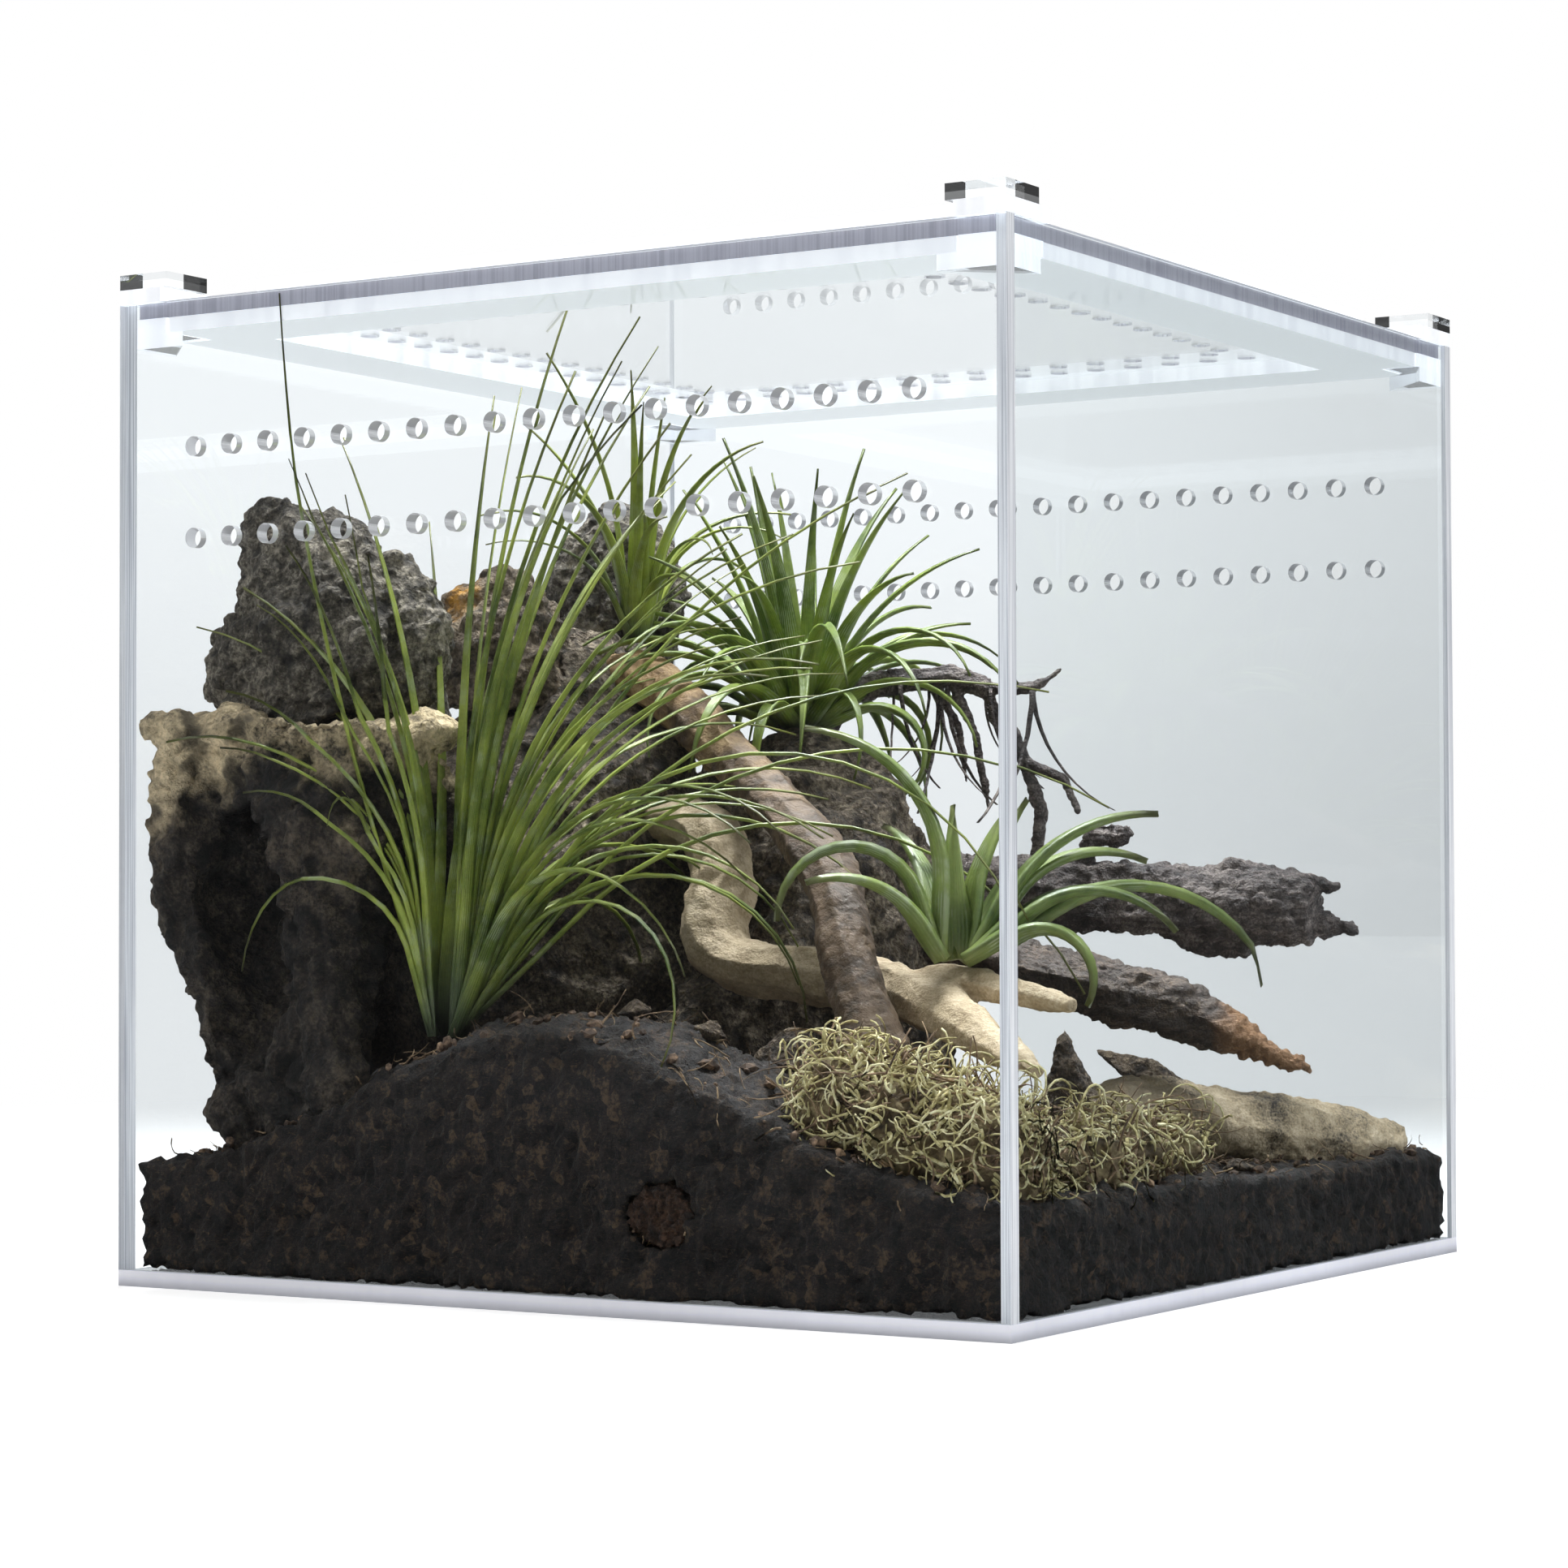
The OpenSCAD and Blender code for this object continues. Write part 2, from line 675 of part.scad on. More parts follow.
base_plate();
front_wall();
back_wall();
left_wall();
right_wall();
corner_ledges();
corner_posts();
lid_plate();
lid_frame();
front_rail();
side_rail();
corner_pads();
stacking_blocks();
substrate();
soil_stone();
cork_tube();
cork_tower();
cork_knob();
cork_crest();
bark_mound();
driftwood_branch();
driftwood_root();
spider_root();
bark_log();
bark_slab();
grounded_wood();
bark_chips();
front_moss();
side_moss();
grassy_plant();
spiky_plant();
wispy_plant();
broad_plant();
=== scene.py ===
# %% [markdown]
# A planted acrylic terrarium is an exercise in two opposite jobs. The box is exact: flat sheets, drilled
# holes and glued corners. The landscape inside is grown: nothing in it is flat or repeats. The exact half
# comes in as a fixed frame of solids, and this file gives it its finish. The grown half starts from the
# same frame's plain shapes, and this file roughens them, or models new pieces over them.

# %% Load the fixed frame
import math
import random

import bpy
import numpy as np
from mathutils import Matrix, Vector


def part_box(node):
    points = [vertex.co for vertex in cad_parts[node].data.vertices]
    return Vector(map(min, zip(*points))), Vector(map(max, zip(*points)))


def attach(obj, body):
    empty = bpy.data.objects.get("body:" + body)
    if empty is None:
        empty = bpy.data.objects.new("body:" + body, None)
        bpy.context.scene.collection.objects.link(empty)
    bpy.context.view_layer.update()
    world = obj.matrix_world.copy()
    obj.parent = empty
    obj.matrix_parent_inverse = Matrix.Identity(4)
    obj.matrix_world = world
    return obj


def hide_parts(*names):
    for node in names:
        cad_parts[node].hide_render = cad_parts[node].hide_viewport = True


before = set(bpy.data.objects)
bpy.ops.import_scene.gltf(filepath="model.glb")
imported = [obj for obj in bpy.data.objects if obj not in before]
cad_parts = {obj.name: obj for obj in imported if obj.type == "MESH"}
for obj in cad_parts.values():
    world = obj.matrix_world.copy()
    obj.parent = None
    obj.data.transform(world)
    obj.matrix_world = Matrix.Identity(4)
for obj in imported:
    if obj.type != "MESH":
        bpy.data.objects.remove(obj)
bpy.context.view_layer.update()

MM = 0.001

# %% [markdown]
# The photograph looks up a little at the box's near edge from the table's height, with a long lens. A long
# lens keeps the box's upright edges nearly parallel. The camera is placed by its real distance and turned
# by the same three angles that a tripod head has: pan, tilt and roll.

# %% Camera
CAMERA_AT = Vector((426.7, -701.8, 77.7)) * MM
PAN, TILT, ROLL = math.radians(-31.725), math.radians(1.635), math.radians(0.168)
LENS_MM, SENSOR_MM = 89.993, 36

camera = bpy.data.objects.new("camera", bpy.data.cameras.new("camera"))
bpy.context.scene.collection.objects.link(camera)
camera.data.lens, camera.data.sensor_width = LENS_MM, SENSOR_MM
level = Matrix.Rotation(-PAN, 4, "Z") @ Matrix.Rotation(math.pi / 2 + TILT, 4, "X")
camera.matrix_world = Matrix.Translation(CAMERA_AT) @ level @ Matrix.Rotation(-ROLL, 4, "Z")
bpy.context.scene.camera = camera
print("camera", [round(v, 3) for v in camera.matrix_world.translation])

# %% [markdown]
# A material here is a few lines of arithmetic on patterns. Writing that with Blender's nodes by hand hides
# the arithmetic, so a small class wraps a node's output and lets Python's own signs add the Math nodes.
# Then 1 - cracks * 0.5 reads as what it does.

# %% A value in a material
class Value:
    """The output of a shader node. Arithmetic on it adds Math nodes."""

    def __init__(self, finish, socket):
        self.finish, self.socket = finish, socket

    def __add__(self, other): return self.finish.math("ADD", self, other)
    def __radd__(self, other): return self.finish.math("ADD", other, self)
    def __sub__(self, other): return self.finish.math("SUBTRACT", self, other)
    def __rsub__(self, other): return self.finish.math("SUBTRACT", other, self)
    def __mul__(self, other): return self.finish.math("MULTIPLY", self, other)
    def __rmul__(self, other): return self.finish.math("MULTIPLY", other, self)


# %% [markdown]
# The second class is a material. Each of its methods adds one kind of node and gives back a value, and
# sizes are given in millimetres, as a maker would give them. The patterns lie in space and not on a UV map,
# because bark, soil and wood are solid stuff that was broken or cut.

# %% A material and its patterns
class Finish:
    """A material whose patterns lie on the object's own coordinates, in metres."""

    def __init__(self, name):
        self.material = bpy.data.materials.new(name)
        self.material.use_nodes = True
        self.tree = self.material.node_tree
        self.tree.nodes.clear()
        self.output = self.tree.nodes.new("ShaderNodeOutputMaterial")
        self.place = self.node("ShaderNodeTexCoord", output="Object")

    def node(self, kind, settings=None, inputs=None, output=0):
        made = self.tree.nodes.new(kind)
        for key, setting in (settings or {}).items():
            if key == "stops":
                self.set_stops(made.color_ramp, setting)
            else:
                setattr(made, key, setting)
        for key, value in (inputs or {}).items():
            if isinstance(value, Value):
                self.tree.links.new(value.socket, made.inputs[key])
            else:
                made.inputs[key].default_value = value
        return Value(self, made.outputs[output])

    def set_stops(self, ramp, stops):
        while len(ramp.elements) < len(stops):
            ramp.elements.new(1)
        for element, (position, colour) in zip(ramp.elements, stops):
            element.position = position
            element.color = (*colour, 1)

    def math(self, operation, a, b):
        return self.node("ShaderNodeMath", {"operation": operation}, {0: a, 1: b})

    def vector(self, operation, a, b=(0, 0, 0)):
        output = "Vector" if operation == "NORMALIZE" else "Value"
        return self.node("ShaderNodeVectorMath", {"operation": operation}, {0: a, 1: b}, output)

    def axis(self, place, name):
        return self.node("ShaderNodeSeparateXYZ", inputs={0: place}, output=name)

    def stretched(self, scale):
        return self.node("ShaderNodeMapping", inputs={"Vector": self.place, "Scale": scale})

    def noise(self, size_mm, detail, roughness, stretch=None, distortion=0):
        place = self.stretched(stretch) if stretch else self.place
        return self.node("ShaderNodeTexNoise", inputs={
            "Vector": place, "Scale": 1 / (size_mm * MM), "Detail": detail, "Roughness": roughness,
            "Distortion": distortion}, output="Fac")

    def cells(self, size_mm):
        """A grey of its own for each cell."""
        colour = self.node("ShaderNodeTexVoronoi", {"feature": "F1"}, {
            "Vector": self.place, "Scale": 1 / (size_mm * MM)}, "Color")
        return self.node("ShaderNodeSeparateColor", inputs={0: colour}, output="Red")

    def ramp(self, value, stops):
        return self.node("ShaderNodeValToRGB", {"stops": stops}, {"Fac": value})

    def step(self, value, low, high):
        return self.node("ShaderNodeMapRange", {"interpolation_type": "SMOOTHSTEP"}, {
            "Value": value, "From Min": low, "From Max": high})

    def mix(self, a, b, factor):
        return self.node("ShaderNodeMix", {"data_type": "RGBA"}, {
            0: factor, 6: self.rgba(a), 7: self.rgba(b)}, 2)

    def rgba(self, colour):
        return colour if isinstance(colour, Value) else (*colour, 1)

    def bump(self, height, depth_mm):
        return self.node("ShaderNodeBump", inputs={
            "Height": height, "Distance": depth_mm * MM, "Strength": 1.0}, output="Normal")

    def surface(self, colour, roughness, normal=None, **shine):
        inputs = {"Base Color": self.rgba(colour), "Roughness": roughness}
        if normal:
            inputs["Normal"] = normal
        inputs.update(shine)
        return self.node("ShaderNodeBsdfPrincipled", inputs=inputs)

    def blend(self, a, b, factor):
        return self.node("ShaderNodeMixShader", inputs={0: factor, 1: a, 2: b})

    def show(self, shader):
        self.tree.links.new(shader.socket, self.output.inputs["Surface"])
        print("finish", self.material.name)
        return self.material


# %% [markdown]
# The background is plain white, as in a catalogue, and the floor is white paper. Through the box the studio
# shows a little greyer towards the table, as backdrops do. So the brightness depends on the kind of ray:
# white for the camera, DIMMED through a pane, and AMBIENT where light is counted. A ray that was mirrored
# inside a sheet leaves it as a transmission ray, so its glossy depth is asked as well. The studio has one
# bright backdrop before the lens and one behind it. Its sides are dark, and those are what the upright
# panes mirror, so the soil behind them stays black. The lid mirrors the bright ends and the ceiling.

# %% Kinds of ray
DIMMED, DIMMED_ABOVE, DIMMED_ASIDE = 0.99, 1.15, 0.07
MIRRORED, MIRRORED_ENDS, CEILING = 0.03, 0.95, 0.8
AMBIENT = 0.24
ENDS_FADE, CEILING_FADE = (0.68, 0.85), (0.13, 0.28)
STUDIO_LENGTH, STUDIO_SIDE = (-0.526, 0.85, 0), (0.85, 0.526, 0)


def ray_kinds(finish):
    """1 or 0 for each: a camera ray, a ray that looks through a pane, and a mirrored one."""
    path = finish.tree.nodes.new("ShaderNodeLightPath")
    names = ("Is Camera Ray", "Is Transmission Ray", "Is Glossy Ray", "Glossy Depth")
    seen, pane, gloss, depth = (Value(finish, path.outputs[name]) for name in names)
    bounced = finish.math("MINIMUM", depth, 1)
    return seen, pane * (1 - bounced), finish.math("MAXIMUM", pane, gloss) * bounced


def studio_end(finish, way):
    """How bright a mirror shows the studio: dark at the sides, bright at both ends and above."""
    unit = finish.vector("NORMALIZE", way)
    along = finish.vector("DOT_PRODUCT", unit, STUDIO_LENGTH)
    end = finish.step(finish.math("ABSOLUTE", along, 0), *ENDS_FADE)
    ceiling = finish.step(finish.axis(unit, "Z"), *CEILING_FADE) * CEILING
    return MIRRORED + (MIRRORED_ENDS - MIRRORED) * finish.math("MAXIMUM", end, ceiling)


# %% [markdown]
# The studio around the box could be built from large white cards. Here the world itself plays them, because
# no card can be white to the lens and grey behind a pane. The world is one Background node. Its strength is
# a sum: each kind of ray picks its own term, and the others are 0 for it. The camera's own rays get exactly
# 1, which is white.

# %% World
ABOVE_FADE, ASIDE_FADE = (0.0, 0.13), (0.04, 0.17)
world = bpy.data.worlds.new("studio")
bpy.context.scene.world = world
world.use_nodes = True
world.cycles.sampling_method = "NONE"


class Backdrop(Finish):
    """The world takes the same arithmetic as a material. Its place is the direction that a ray looks in."""

    def __init__(self, world):
        self.tree = world.node_tree
        self.place = self.node("ShaderNodeTexCoord", output="Generated")


sky = Backdrop(world)
upwards, aside = sky.axis(sky.place, "Z"), sky.vector("DOT_PRODUCT", sky.place, STUDIO_SIDE)
backdrop = DIMMED + (DIMMED_ABOVE - DIMMED) * sky.step(upwards, *ABOVE_FADE)
backdrop = backdrop - DIMMED_ASIDE * sky.step(aside, *ASIDE_FADE)
seen, through, mirrored = ray_kinds(sky)
counted = (1 - seen) * (1 - through) * (1 - mirrored)
strength = seen + through * backdrop + mirrored * studio_end(sky, sky.place) + counted * AMBIENT
background = world.node_tree.nodes["Background"]
background.inputs["Color"].default_value = (1, 1, 1, 1)
world.node_tree.links.new(strength.socket, background.inputs["Strength"])
bpy.context.scene.view_settings.view_transform = "Standard"
print("backdrop from", DIMMED, "to", DIMMED_ABOVE)

# %% [markdown]
# The floor is a sheet of paper that takes the box's shadow. Paper alone would come out grey, so it glows by
# half for a ray that looks, and it fades to plain light away from the box. A mirrored ray sees the studio
# in it, but not near the box, where the place on the floor says little about the direction.

# %% Floor
FLOOR_SIZE = 12
SHADE_FADE, MIRROR_FADE = (0.225, 0.72), (0.3, 1.0)
PAPER_WHITE, PAPER_GLOW = (0.8, 0.8, 0.8), 0.5


def deselect():
    bpy.ops.object.select_all(action="DESELECT")


deselect()
bpy.ops.mesh.primitive_plane_add(size=FLOOR_SIZE)
floor = bpy.context.object
floor.name = "floor"

paper = Finish("white_paper")
seen, through, mirrored = ray_kinds(paper)
direct = paper.math("MAXIMUM", seen, through)
sheet = paper.surface(PAPER_WHITE, 0.9)


def glow(finish, strength):
    return finish.node("ShaderNodeEmission", inputs={"Color": (1, 1, 1, 1), "Strength": strength})


reach = paper.vector("LENGTH", paper.place)
near = paper.node("ShaderNodeAddShader", inputs={0: sheet, 1: glow(paper, direct * PAPER_GLOW)})
far = glow(paper, direct + (1 - direct) * AMBIENT)
lit = paper.blend(near, far, paper.step(reach, *SHADE_FADE))
mirror_image = glow(paper, studio_end(paper, paper.place) * paper.step(reach, *MIRROR_FADE))
floor.data.materials.append(paper.show(paper.blend(lit, mirror_image, mirrored)))
print("floor", FLOOR_SIZE, "m")

# %% [markdown]
# A softbox above the lid lights the planting from the top, as a lamp over a terrarium does. A warmer one
# stands high at the left, in front, and a cooler one at the right. All three are placed where a flat pane
# can't mirror them to the camera.

# %% Lamps
def softbox(name, at, towards, size, watts, colour=(1, 1, 1)):
    lamp = bpy.data.lights.new(name, "AREA")
    lamp.shape, lamp.size, lamp.energy, lamp.color = "SQUARE", size, watts, colour
    box = bpy.data.objects.new(name, lamp)
    bpy.context.scene.collection.objects.link(box)
    aim = (Vector(towards) - Vector(at)).to_track_quat("-Z", "Y")
    box.matrix_world = Matrix.Translation(at) @ aim.to_matrix().to_4x4()
    print(name, watts, "W")


softbox("top_softbox", (-0.05, 0.08, 0.95), (0, 0, 0.05), 0.3, 17)
softbox("left_softbox", (-0.75, -0.75, 1.15), (0, 0, 0.1), 0.4, 6, (1, 0.98, 0.95))
softbox("right_softbox", (1.0, 0.1, 0.9), (0, 0, 0.1), 0.4, 5, (0.96, 0.98, 1))

# %% [markdown]
# The sheets are cast acrylic. A clear surface that bends light would throw the whole landscape into noise,
# because Cycles has to find the lamps through it by luck. So a ray that only asks how much light arrives
# passes the sheet almost unchanged, and a ray that looks meets real acrylic, with its index of 1.49.

# %% Clear acrylic
ACRYLIC_INDEX = 1.49


def clear_sheet(f, tint):
    return f.surface(tint, 0.0, **{"Transmission Weight": 1.0, "IOR": ACRYLIC_INDEX})


def make_acrylic(name, tint):
    f = Finish(name)
    clear = clear_sheet(f, tint)
    open_air = f.node("ShaderNodeBsdfTransparent", inputs={"Color": (0.97, 0.98, 0.99, 1)})
    path = f.tree.nodes.new("ShaderNodeLightPath")
    shadow, soft = (Value(f, path.outputs[name]) for name in ("Is Shadow Ray", "Is Diffuse Ray"))
    return f.show(f.blend(clear, open_air, f.math("MAXIMUM", shadow, soft)))


acrylic = make_acrylic("clear_acrylic", (0.965, 0.988, 1.0))
# The right wall's sheet has a greyer tint, a painted shade on that side of the box.
shaded_side_acrylic = make_acrylic("clear_acrylic_shaded_side", (0.9, 0.94, 0.955))

# %% [markdown]
# The sawn and polished edges scatter the light that the sheet pipes to them, so they look milky, with fine
# upright marks from the saw. Cycles can't find that light either, so a little emission stands in for it. An
# edge is opaque, and one noise drawn out along Z makes its marks. The base plate's edge turns to a second,
# darker colour towards the table, a painted shade. The lid's frame and the walls of the holes are partly
# milky and partly clear.

# %% Milky edges
def blend_of(a, b, share):
    return tuple(x + (y - x) * share for x, y in zip(a, b))


def make_edge(name, pale, grey, mark_mm, painted_shade=None, piped=0.2):
    f = Finish(name)
    marks = f.noise(mark_mm, 3, 0.7, stretch=(1, 1, 0.004))
    colour = f.ramp(marks, [(0.38, grey), (0.5, pale), (0.62, blend_of(grey, pale, 0.2))])
    # Painted shade: towards the table the edge turns to the darker colour.
    if painted_shade:
        colour = f.mix(painted_shade, colour, f.step(f.axis(f.place, "Z"), -0.6 * MM, 2.6 * MM))
    return f.show(f.surface(colour, 0.28, **{
        "Coat Weight": 0.4, "Emission Color": colour, "Emission Strength": piped}))


def make_frosted(name, colour, share, piped=0.68):
    """A clear sheet that hides some of what is behind it under the light that it pipes."""
    f = Finish(name)
    clear = clear_sheet(f, (0.97, 0.985, 1.0))
    milky = f.surface(blend_of(colour, (0, 0, 0), 0.6), 0.4, **{
        "Emission Color": (*colour, 1), "Emission Strength": piped})
    return f.show(f.blend(clear, milky, share))


pane_edge = make_edge("pane_edge", (0.84, 0.86, 0.89), (0.4, 0.42, 0.47), 0.5)
lid_edge = make_edge("lid_edge", (0.5, 0.5, 0.57), (0.38, 0.38, 0.45), 1.6)
rail_edge = make_edge("rail_edge", (0.84, 0.86, 0.89), (0.74, 0.76, 0.8), 9, piped=0.6)
base_edge = make_edge("base_edge", (0.86, 0.87, 0.95), (0.82, 0.83, 0.91), 12, (0.46, 0.47, 0.52))
bore_edge = make_frosted("bore_edge", (0.7, 0.72, 0.75), 0.45)
milky_acrylic = make_frosted("milky_acrylic", (0.8, 0.84, 0.86), 0.7)

# %% [markdown]
# The real box is glued from flat sheets, with holes drilled through three of them. The frame's own meshes
# are exact, so they are kept and only their faces are told apart: those that look along the sheet's thin
# axis are clear, flat ones across it are the rim, and the rest are the walls of round holes. A new mesh
# could have bevels, but cast sheet is cut square.

# %% Dress the sheets
X, Y, Z = 0, 1, 2
ALONG, SQUARE_ON = 0.9, 0.9999


def dress_sheet(node, thin_axis, edge, clear=acrylic):
    """Clear faces on the two sides of a sheet, edge on its rim, and bore_edge in its holes."""
    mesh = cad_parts[node].data
    mesh.materials.clear()
    for material in (clear, edge, bore_edge):
        mesh.materials.append(material)
    rims = 0
    for face in mesh.polygons:
        if abs(face.normal[thin_axis]) < ALONG:
            face.material_index = 1 if max(abs(n) for n in face.normal) > SQUARE_ON else 2
            rims += 1
    print(node, "rim faces", rims)


# The right wall takes the greyer sheet, a painted shade.
dress_sheet("right_wall", X, pane_edge, shaded_side_acrylic)
for node, thin_axis, edge in (
        ("base_plate", Z, base_edge), ("front_wall", Y, pane_edge), ("back_wall", Y, pane_edge),
        ("left_wall", X, pane_edge), ("corner_posts", Z, rail_edge), ("corner_ledges", Z, rail_edge),
        ("lid_plate", Z, lid_edge), ("front_rail", Z, rail_edge), ("side_rail", Z, rail_edge),
        ("corner_pads", Z, rail_edge)):
    dress_sheet(node, thin_axis, edge)
dress_sheet("lid_frame", Z, rail_edge, milky_acrylic)
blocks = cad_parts["stacking_blocks"].data
blocks.materials.clear()
blocks.materials.append(acrylic)

# %% [markdown]
# An air plant is one leaf shape repeated round a crown. The leaf is modelled once, flat and straight: a
# narrow grid whose rows are scaled towards the tip, with its middle row pulled back so that the leaf is a
# shallow channel. Each copy is twisted and bent by a modifier, because a bend that keeps the leaf's length
# looks grown.

# %% One straight leaf
LEAF_ROWS = 16
BLUNT, NEAR = 0.04, 0.01


def select_where(piece, test):
    """Selects the vertices that pass a test on their place, and nothing else."""
    bpy.ops.object.mode_set(mode="EDIT")
    bpy.ops.mesh.select_all(action="DESELECT")
    bpy.ops.object.mode_set(mode="OBJECT")
    for vertex in piece.data.vertices:
        vertex.select = test(vertex.co)
    bpy.ops.object.mode_set(mode="EDIT")


def leaf_blank(name, length, width, thickness, belly, sharp, channel=0.22):
    """A leaf along +X from the origin, as wide along Z as given, that opens its channel to -Y."""
    deselect()
    bpy.ops.mesh.primitive_grid_add(x_subdivisions=LEAF_ROWS, y_subdivisions=2, size=1,
                                    location=(0.5, 0, 0), rotation=(math.pi / 2, 0, 0))
    leaf = bpy.context.object
    leaf.name = name
    bpy.ops.object.transform_apply()
    for row in range(LEAF_ROWS + 1):
        along = row / LEAF_ROWS
        taper = max(BLUNT, (1 - along ** sharp) * (1 + belly * math.sin(math.pi * min(1, 2.2 * along))))
        select_where(leaf, lambda co: abs(co.x - along) < NEAR)
        bpy.ops.transform.resize(value=(1, 1, taper), center_override=(along, 0, 0))
        select_where(leaf, lambda co: abs(co.x - along) < NEAR and abs(co.z) < NEAR)
        bpy.ops.transform.translate(value=(0, channel * taper, 0))
    bpy.ops.mesh.select_all(action="SELECT")
    bpy.ops.transform.resize(value=(length, width, width), center_override=(0, 0, 0))
    bpy.ops.object.mode_set(mode="OBJECT")
    solid = leaf.modifiers.new("thickness", "SOLIDIFY")
    solid.thickness, solid.offset = thickness, 0
    bpy.ops.object.modifier_apply(modifier=solid.name)
    bpy.ops.object.shade_smooth()
    print(name, len(leaf.data.polygons), "faces")
    return leaf


# %% [markdown]
# A leaf stands stiff at its foot and bends further out. Simple Deform has limits for that, but it turns the
# part below the lower limit as well. So the foot is put back: the first two rows of the leaf say how far it
# was turned, and the whole leaf is turned back by that.

# %% Copies round a crown
STIFF_SHARE, FOOT_HEIGHT = 0.24, 3 * MM


def fresh_copy(blank):
    """A copy with its own mesh, linked into the scene."""
    copy = blank.copy()
    copy.data = blank.data.copy()
    bpy.context.scene.collection.objects.link(copy)
    return copy


def middle(mesh, rows):
    return sum((mesh.vertices[i].co for i in rows), Vector()) / len(rows)


def crown_of(node, lift):
    """The middle of a CAD plant's lowest few millimetres, raised a little."""
    points = [v.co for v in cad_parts[node].data.vertices]
    low = min(p.z for p in points)
    foot = [p for p in points if p.z < low + FOOT_HEIGHT]
    return Vector((sum(p.x for p in foot) / len(foot), sum(p.y for p in foot) / len(foot), low + lift))


def bend_leaf(leaf, length, twist, sway, bend):
    """Twists the leaf, sways it sideways and bends it, and puts its foot back at the origin along +X."""
    foot = [v.index for v in leaf.data.vertices if v.co.x < 0.5 * length / LEAF_ROWS]
    row = [v.index for v in leaf.data.vertices if 0.5 < v.co.x * LEAF_ROWS / length < 1.5]
    flat, on_edge = Matrix(), Matrix.Rotation(math.pi / 2, 4, "X")
    for method, angle, axis, start, turn in (
            ("TWIST", twist, "X", 0, flat),
            ("BEND", sway, "Z", 0, on_edge),
            ("BEND", bend, "Z", STIFF_SHARE, flat)):
        if angle:
            leaf.data.transform(turn)
            turned = leaf.modifiers.new(method.lower(), "SIMPLE_DEFORM")
            turned.deform_method, turned.deform_axis = method, axis
            turned.angle, turned.limits = math.radians(angle / (1 - start)), (start, 1)
            bpy.ops.object.modifier_apply(modifier=turned.name)
            leaf.data.transform(turn.inverted())
    base, second = middle(leaf.data, foot), middle(leaf.data, row)
    fallen = math.atan2(second.y - base.y, second.x - base.x)
    leaf.data.transform(Matrix.Rotation(-fallen, 4, "Z") @ Matrix.Translation(-base))


def grow_leaf(blank, crown, heading, tilt, bend, length, twist=0, spread=0.0018, width=1.0, sway=0):
    """Stands a copy of the leaf on a crown. Angles are in degrees, and tilt is measured from upright."""
    leaf = fresh_copy(blank)
    leaf.data.transform(Matrix.Diagonal((length / blank.dimensions.x, width, width, 1)))
    deselect()
    leaf.select_set(True)
    bpy.context.view_layer.objects.active = leaf
    bend_leaf(leaf, length, twist, sway, bend)
    lean, way = math.radians(tilt), math.radians(heading)
    out = Vector((math.cos(way), math.sin(way), 0))
    up = Vector((0, 0, 1))
    ahead = math.sin(lean) * out + math.cos(lean) * up
    over = math.cos(lean) * out - math.sin(lean) * up
    turn = Matrix((ahead, over, ahead.cross(over))).transposed().to_4x4()
    leaf.data.transform(Matrix.Translation(crown + spread * out) @ turn)
    return leaf


GOLDEN = 0.618
HEADING_JITTER, TILT_JITTER = 7, 3
BEND_RANGE, LENGTH_RANGE, WIDTH_RANGE = (0.7, 1.25), (0.85, 1.05), (0.75, 1.15)


def between(pair, share):
    return pair[0] + (pair[1] - pair[0]) * share


def rosette(blank, crown, count, heading, tilt, bend, length, seed, spread, sway, twist=25):
    """Leaves round a crown. The golden section scatters tilt and length, so that neighbours differ."""
    rng = random.Random(seed)
    leaves = []
    for i in range(count):
        f = (i * GOLDEN) % 1
        leaves.append(grow_leaf(
            blank, crown,
            between(heading, i / (count - 1)) + rng.uniform(-HEADING_JITTER, HEADING_JITTER),
            between(tilt, f) + rng.uniform(-TILT_JITTER, TILT_JITTER),
            between(bend, f) * rng.uniform(*BEND_RANGE),
            between(length, f) * MM * rng.uniform(*LENGTH_RANGE),
            rng.uniform(-twist, twist), spread, rng.uniform(*WIDTH_RANGE), rng.uniform(-sway, sway)))
    return leaves


# %% [markdown]
# Every new piece ends in the same way: its copies become one mesh with one material, what would stand out
# of the box is pressed flat against the pane, the piece is hung on the enclosure, and the node that it
# replaces is hidden. All that grows stays in the enclosure when the lid is lifted.

# %% Finish a piece
PANE_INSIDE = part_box("right_wall")[0].x - 0.15 * MM
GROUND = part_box("base_plate")[1].z + 0.05 * MM


def keep_inside(piece):
    """What presses against a pane or the base plate is flattened by it."""
    count = len(piece.data.vertices)
    co = np.empty(count * 3)
    piece.data.vertices.foreach_get("co", co)
    co = co.reshape(-1, 3)
    co[:, :2] = np.clip(co[:, :2], -PANE_INSIDE, PANE_INSIDE)
    co[:, 2] = np.maximum(co[:, 2], GROUND)
    piece.data.vertices.foreach_set("co", co.ravel())
    piece.data.update()


def joined(pieces, name, material, replaces=None):
    """Joins pieces into one that rides on the enclosure, and gives it a material."""
    deselect()
    for piece in pieces:
        piece.select_set(True)
    bpy.context.view_layer.objects.active = pieces[0]
    if len(pieces) > 1:
        bpy.ops.object.join()
    whole = pieces[0]
    whole.name = name
    whole.data.materials.clear()
    whole.data.materials.append(material)
    keep_inside(whole)
    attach(whole, "enclosure")
    if replaces:
        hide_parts(replaces)
    print(name, len(whole.data.polygons), "faces")


# %% [markdown]
# A leaf is green with fine ribs and patches of a silvery bloom, and its foot and tip have colours of their
# own. The ribs run along the leaf, so they read the leaf's own UV map, which every bent copy keeps.

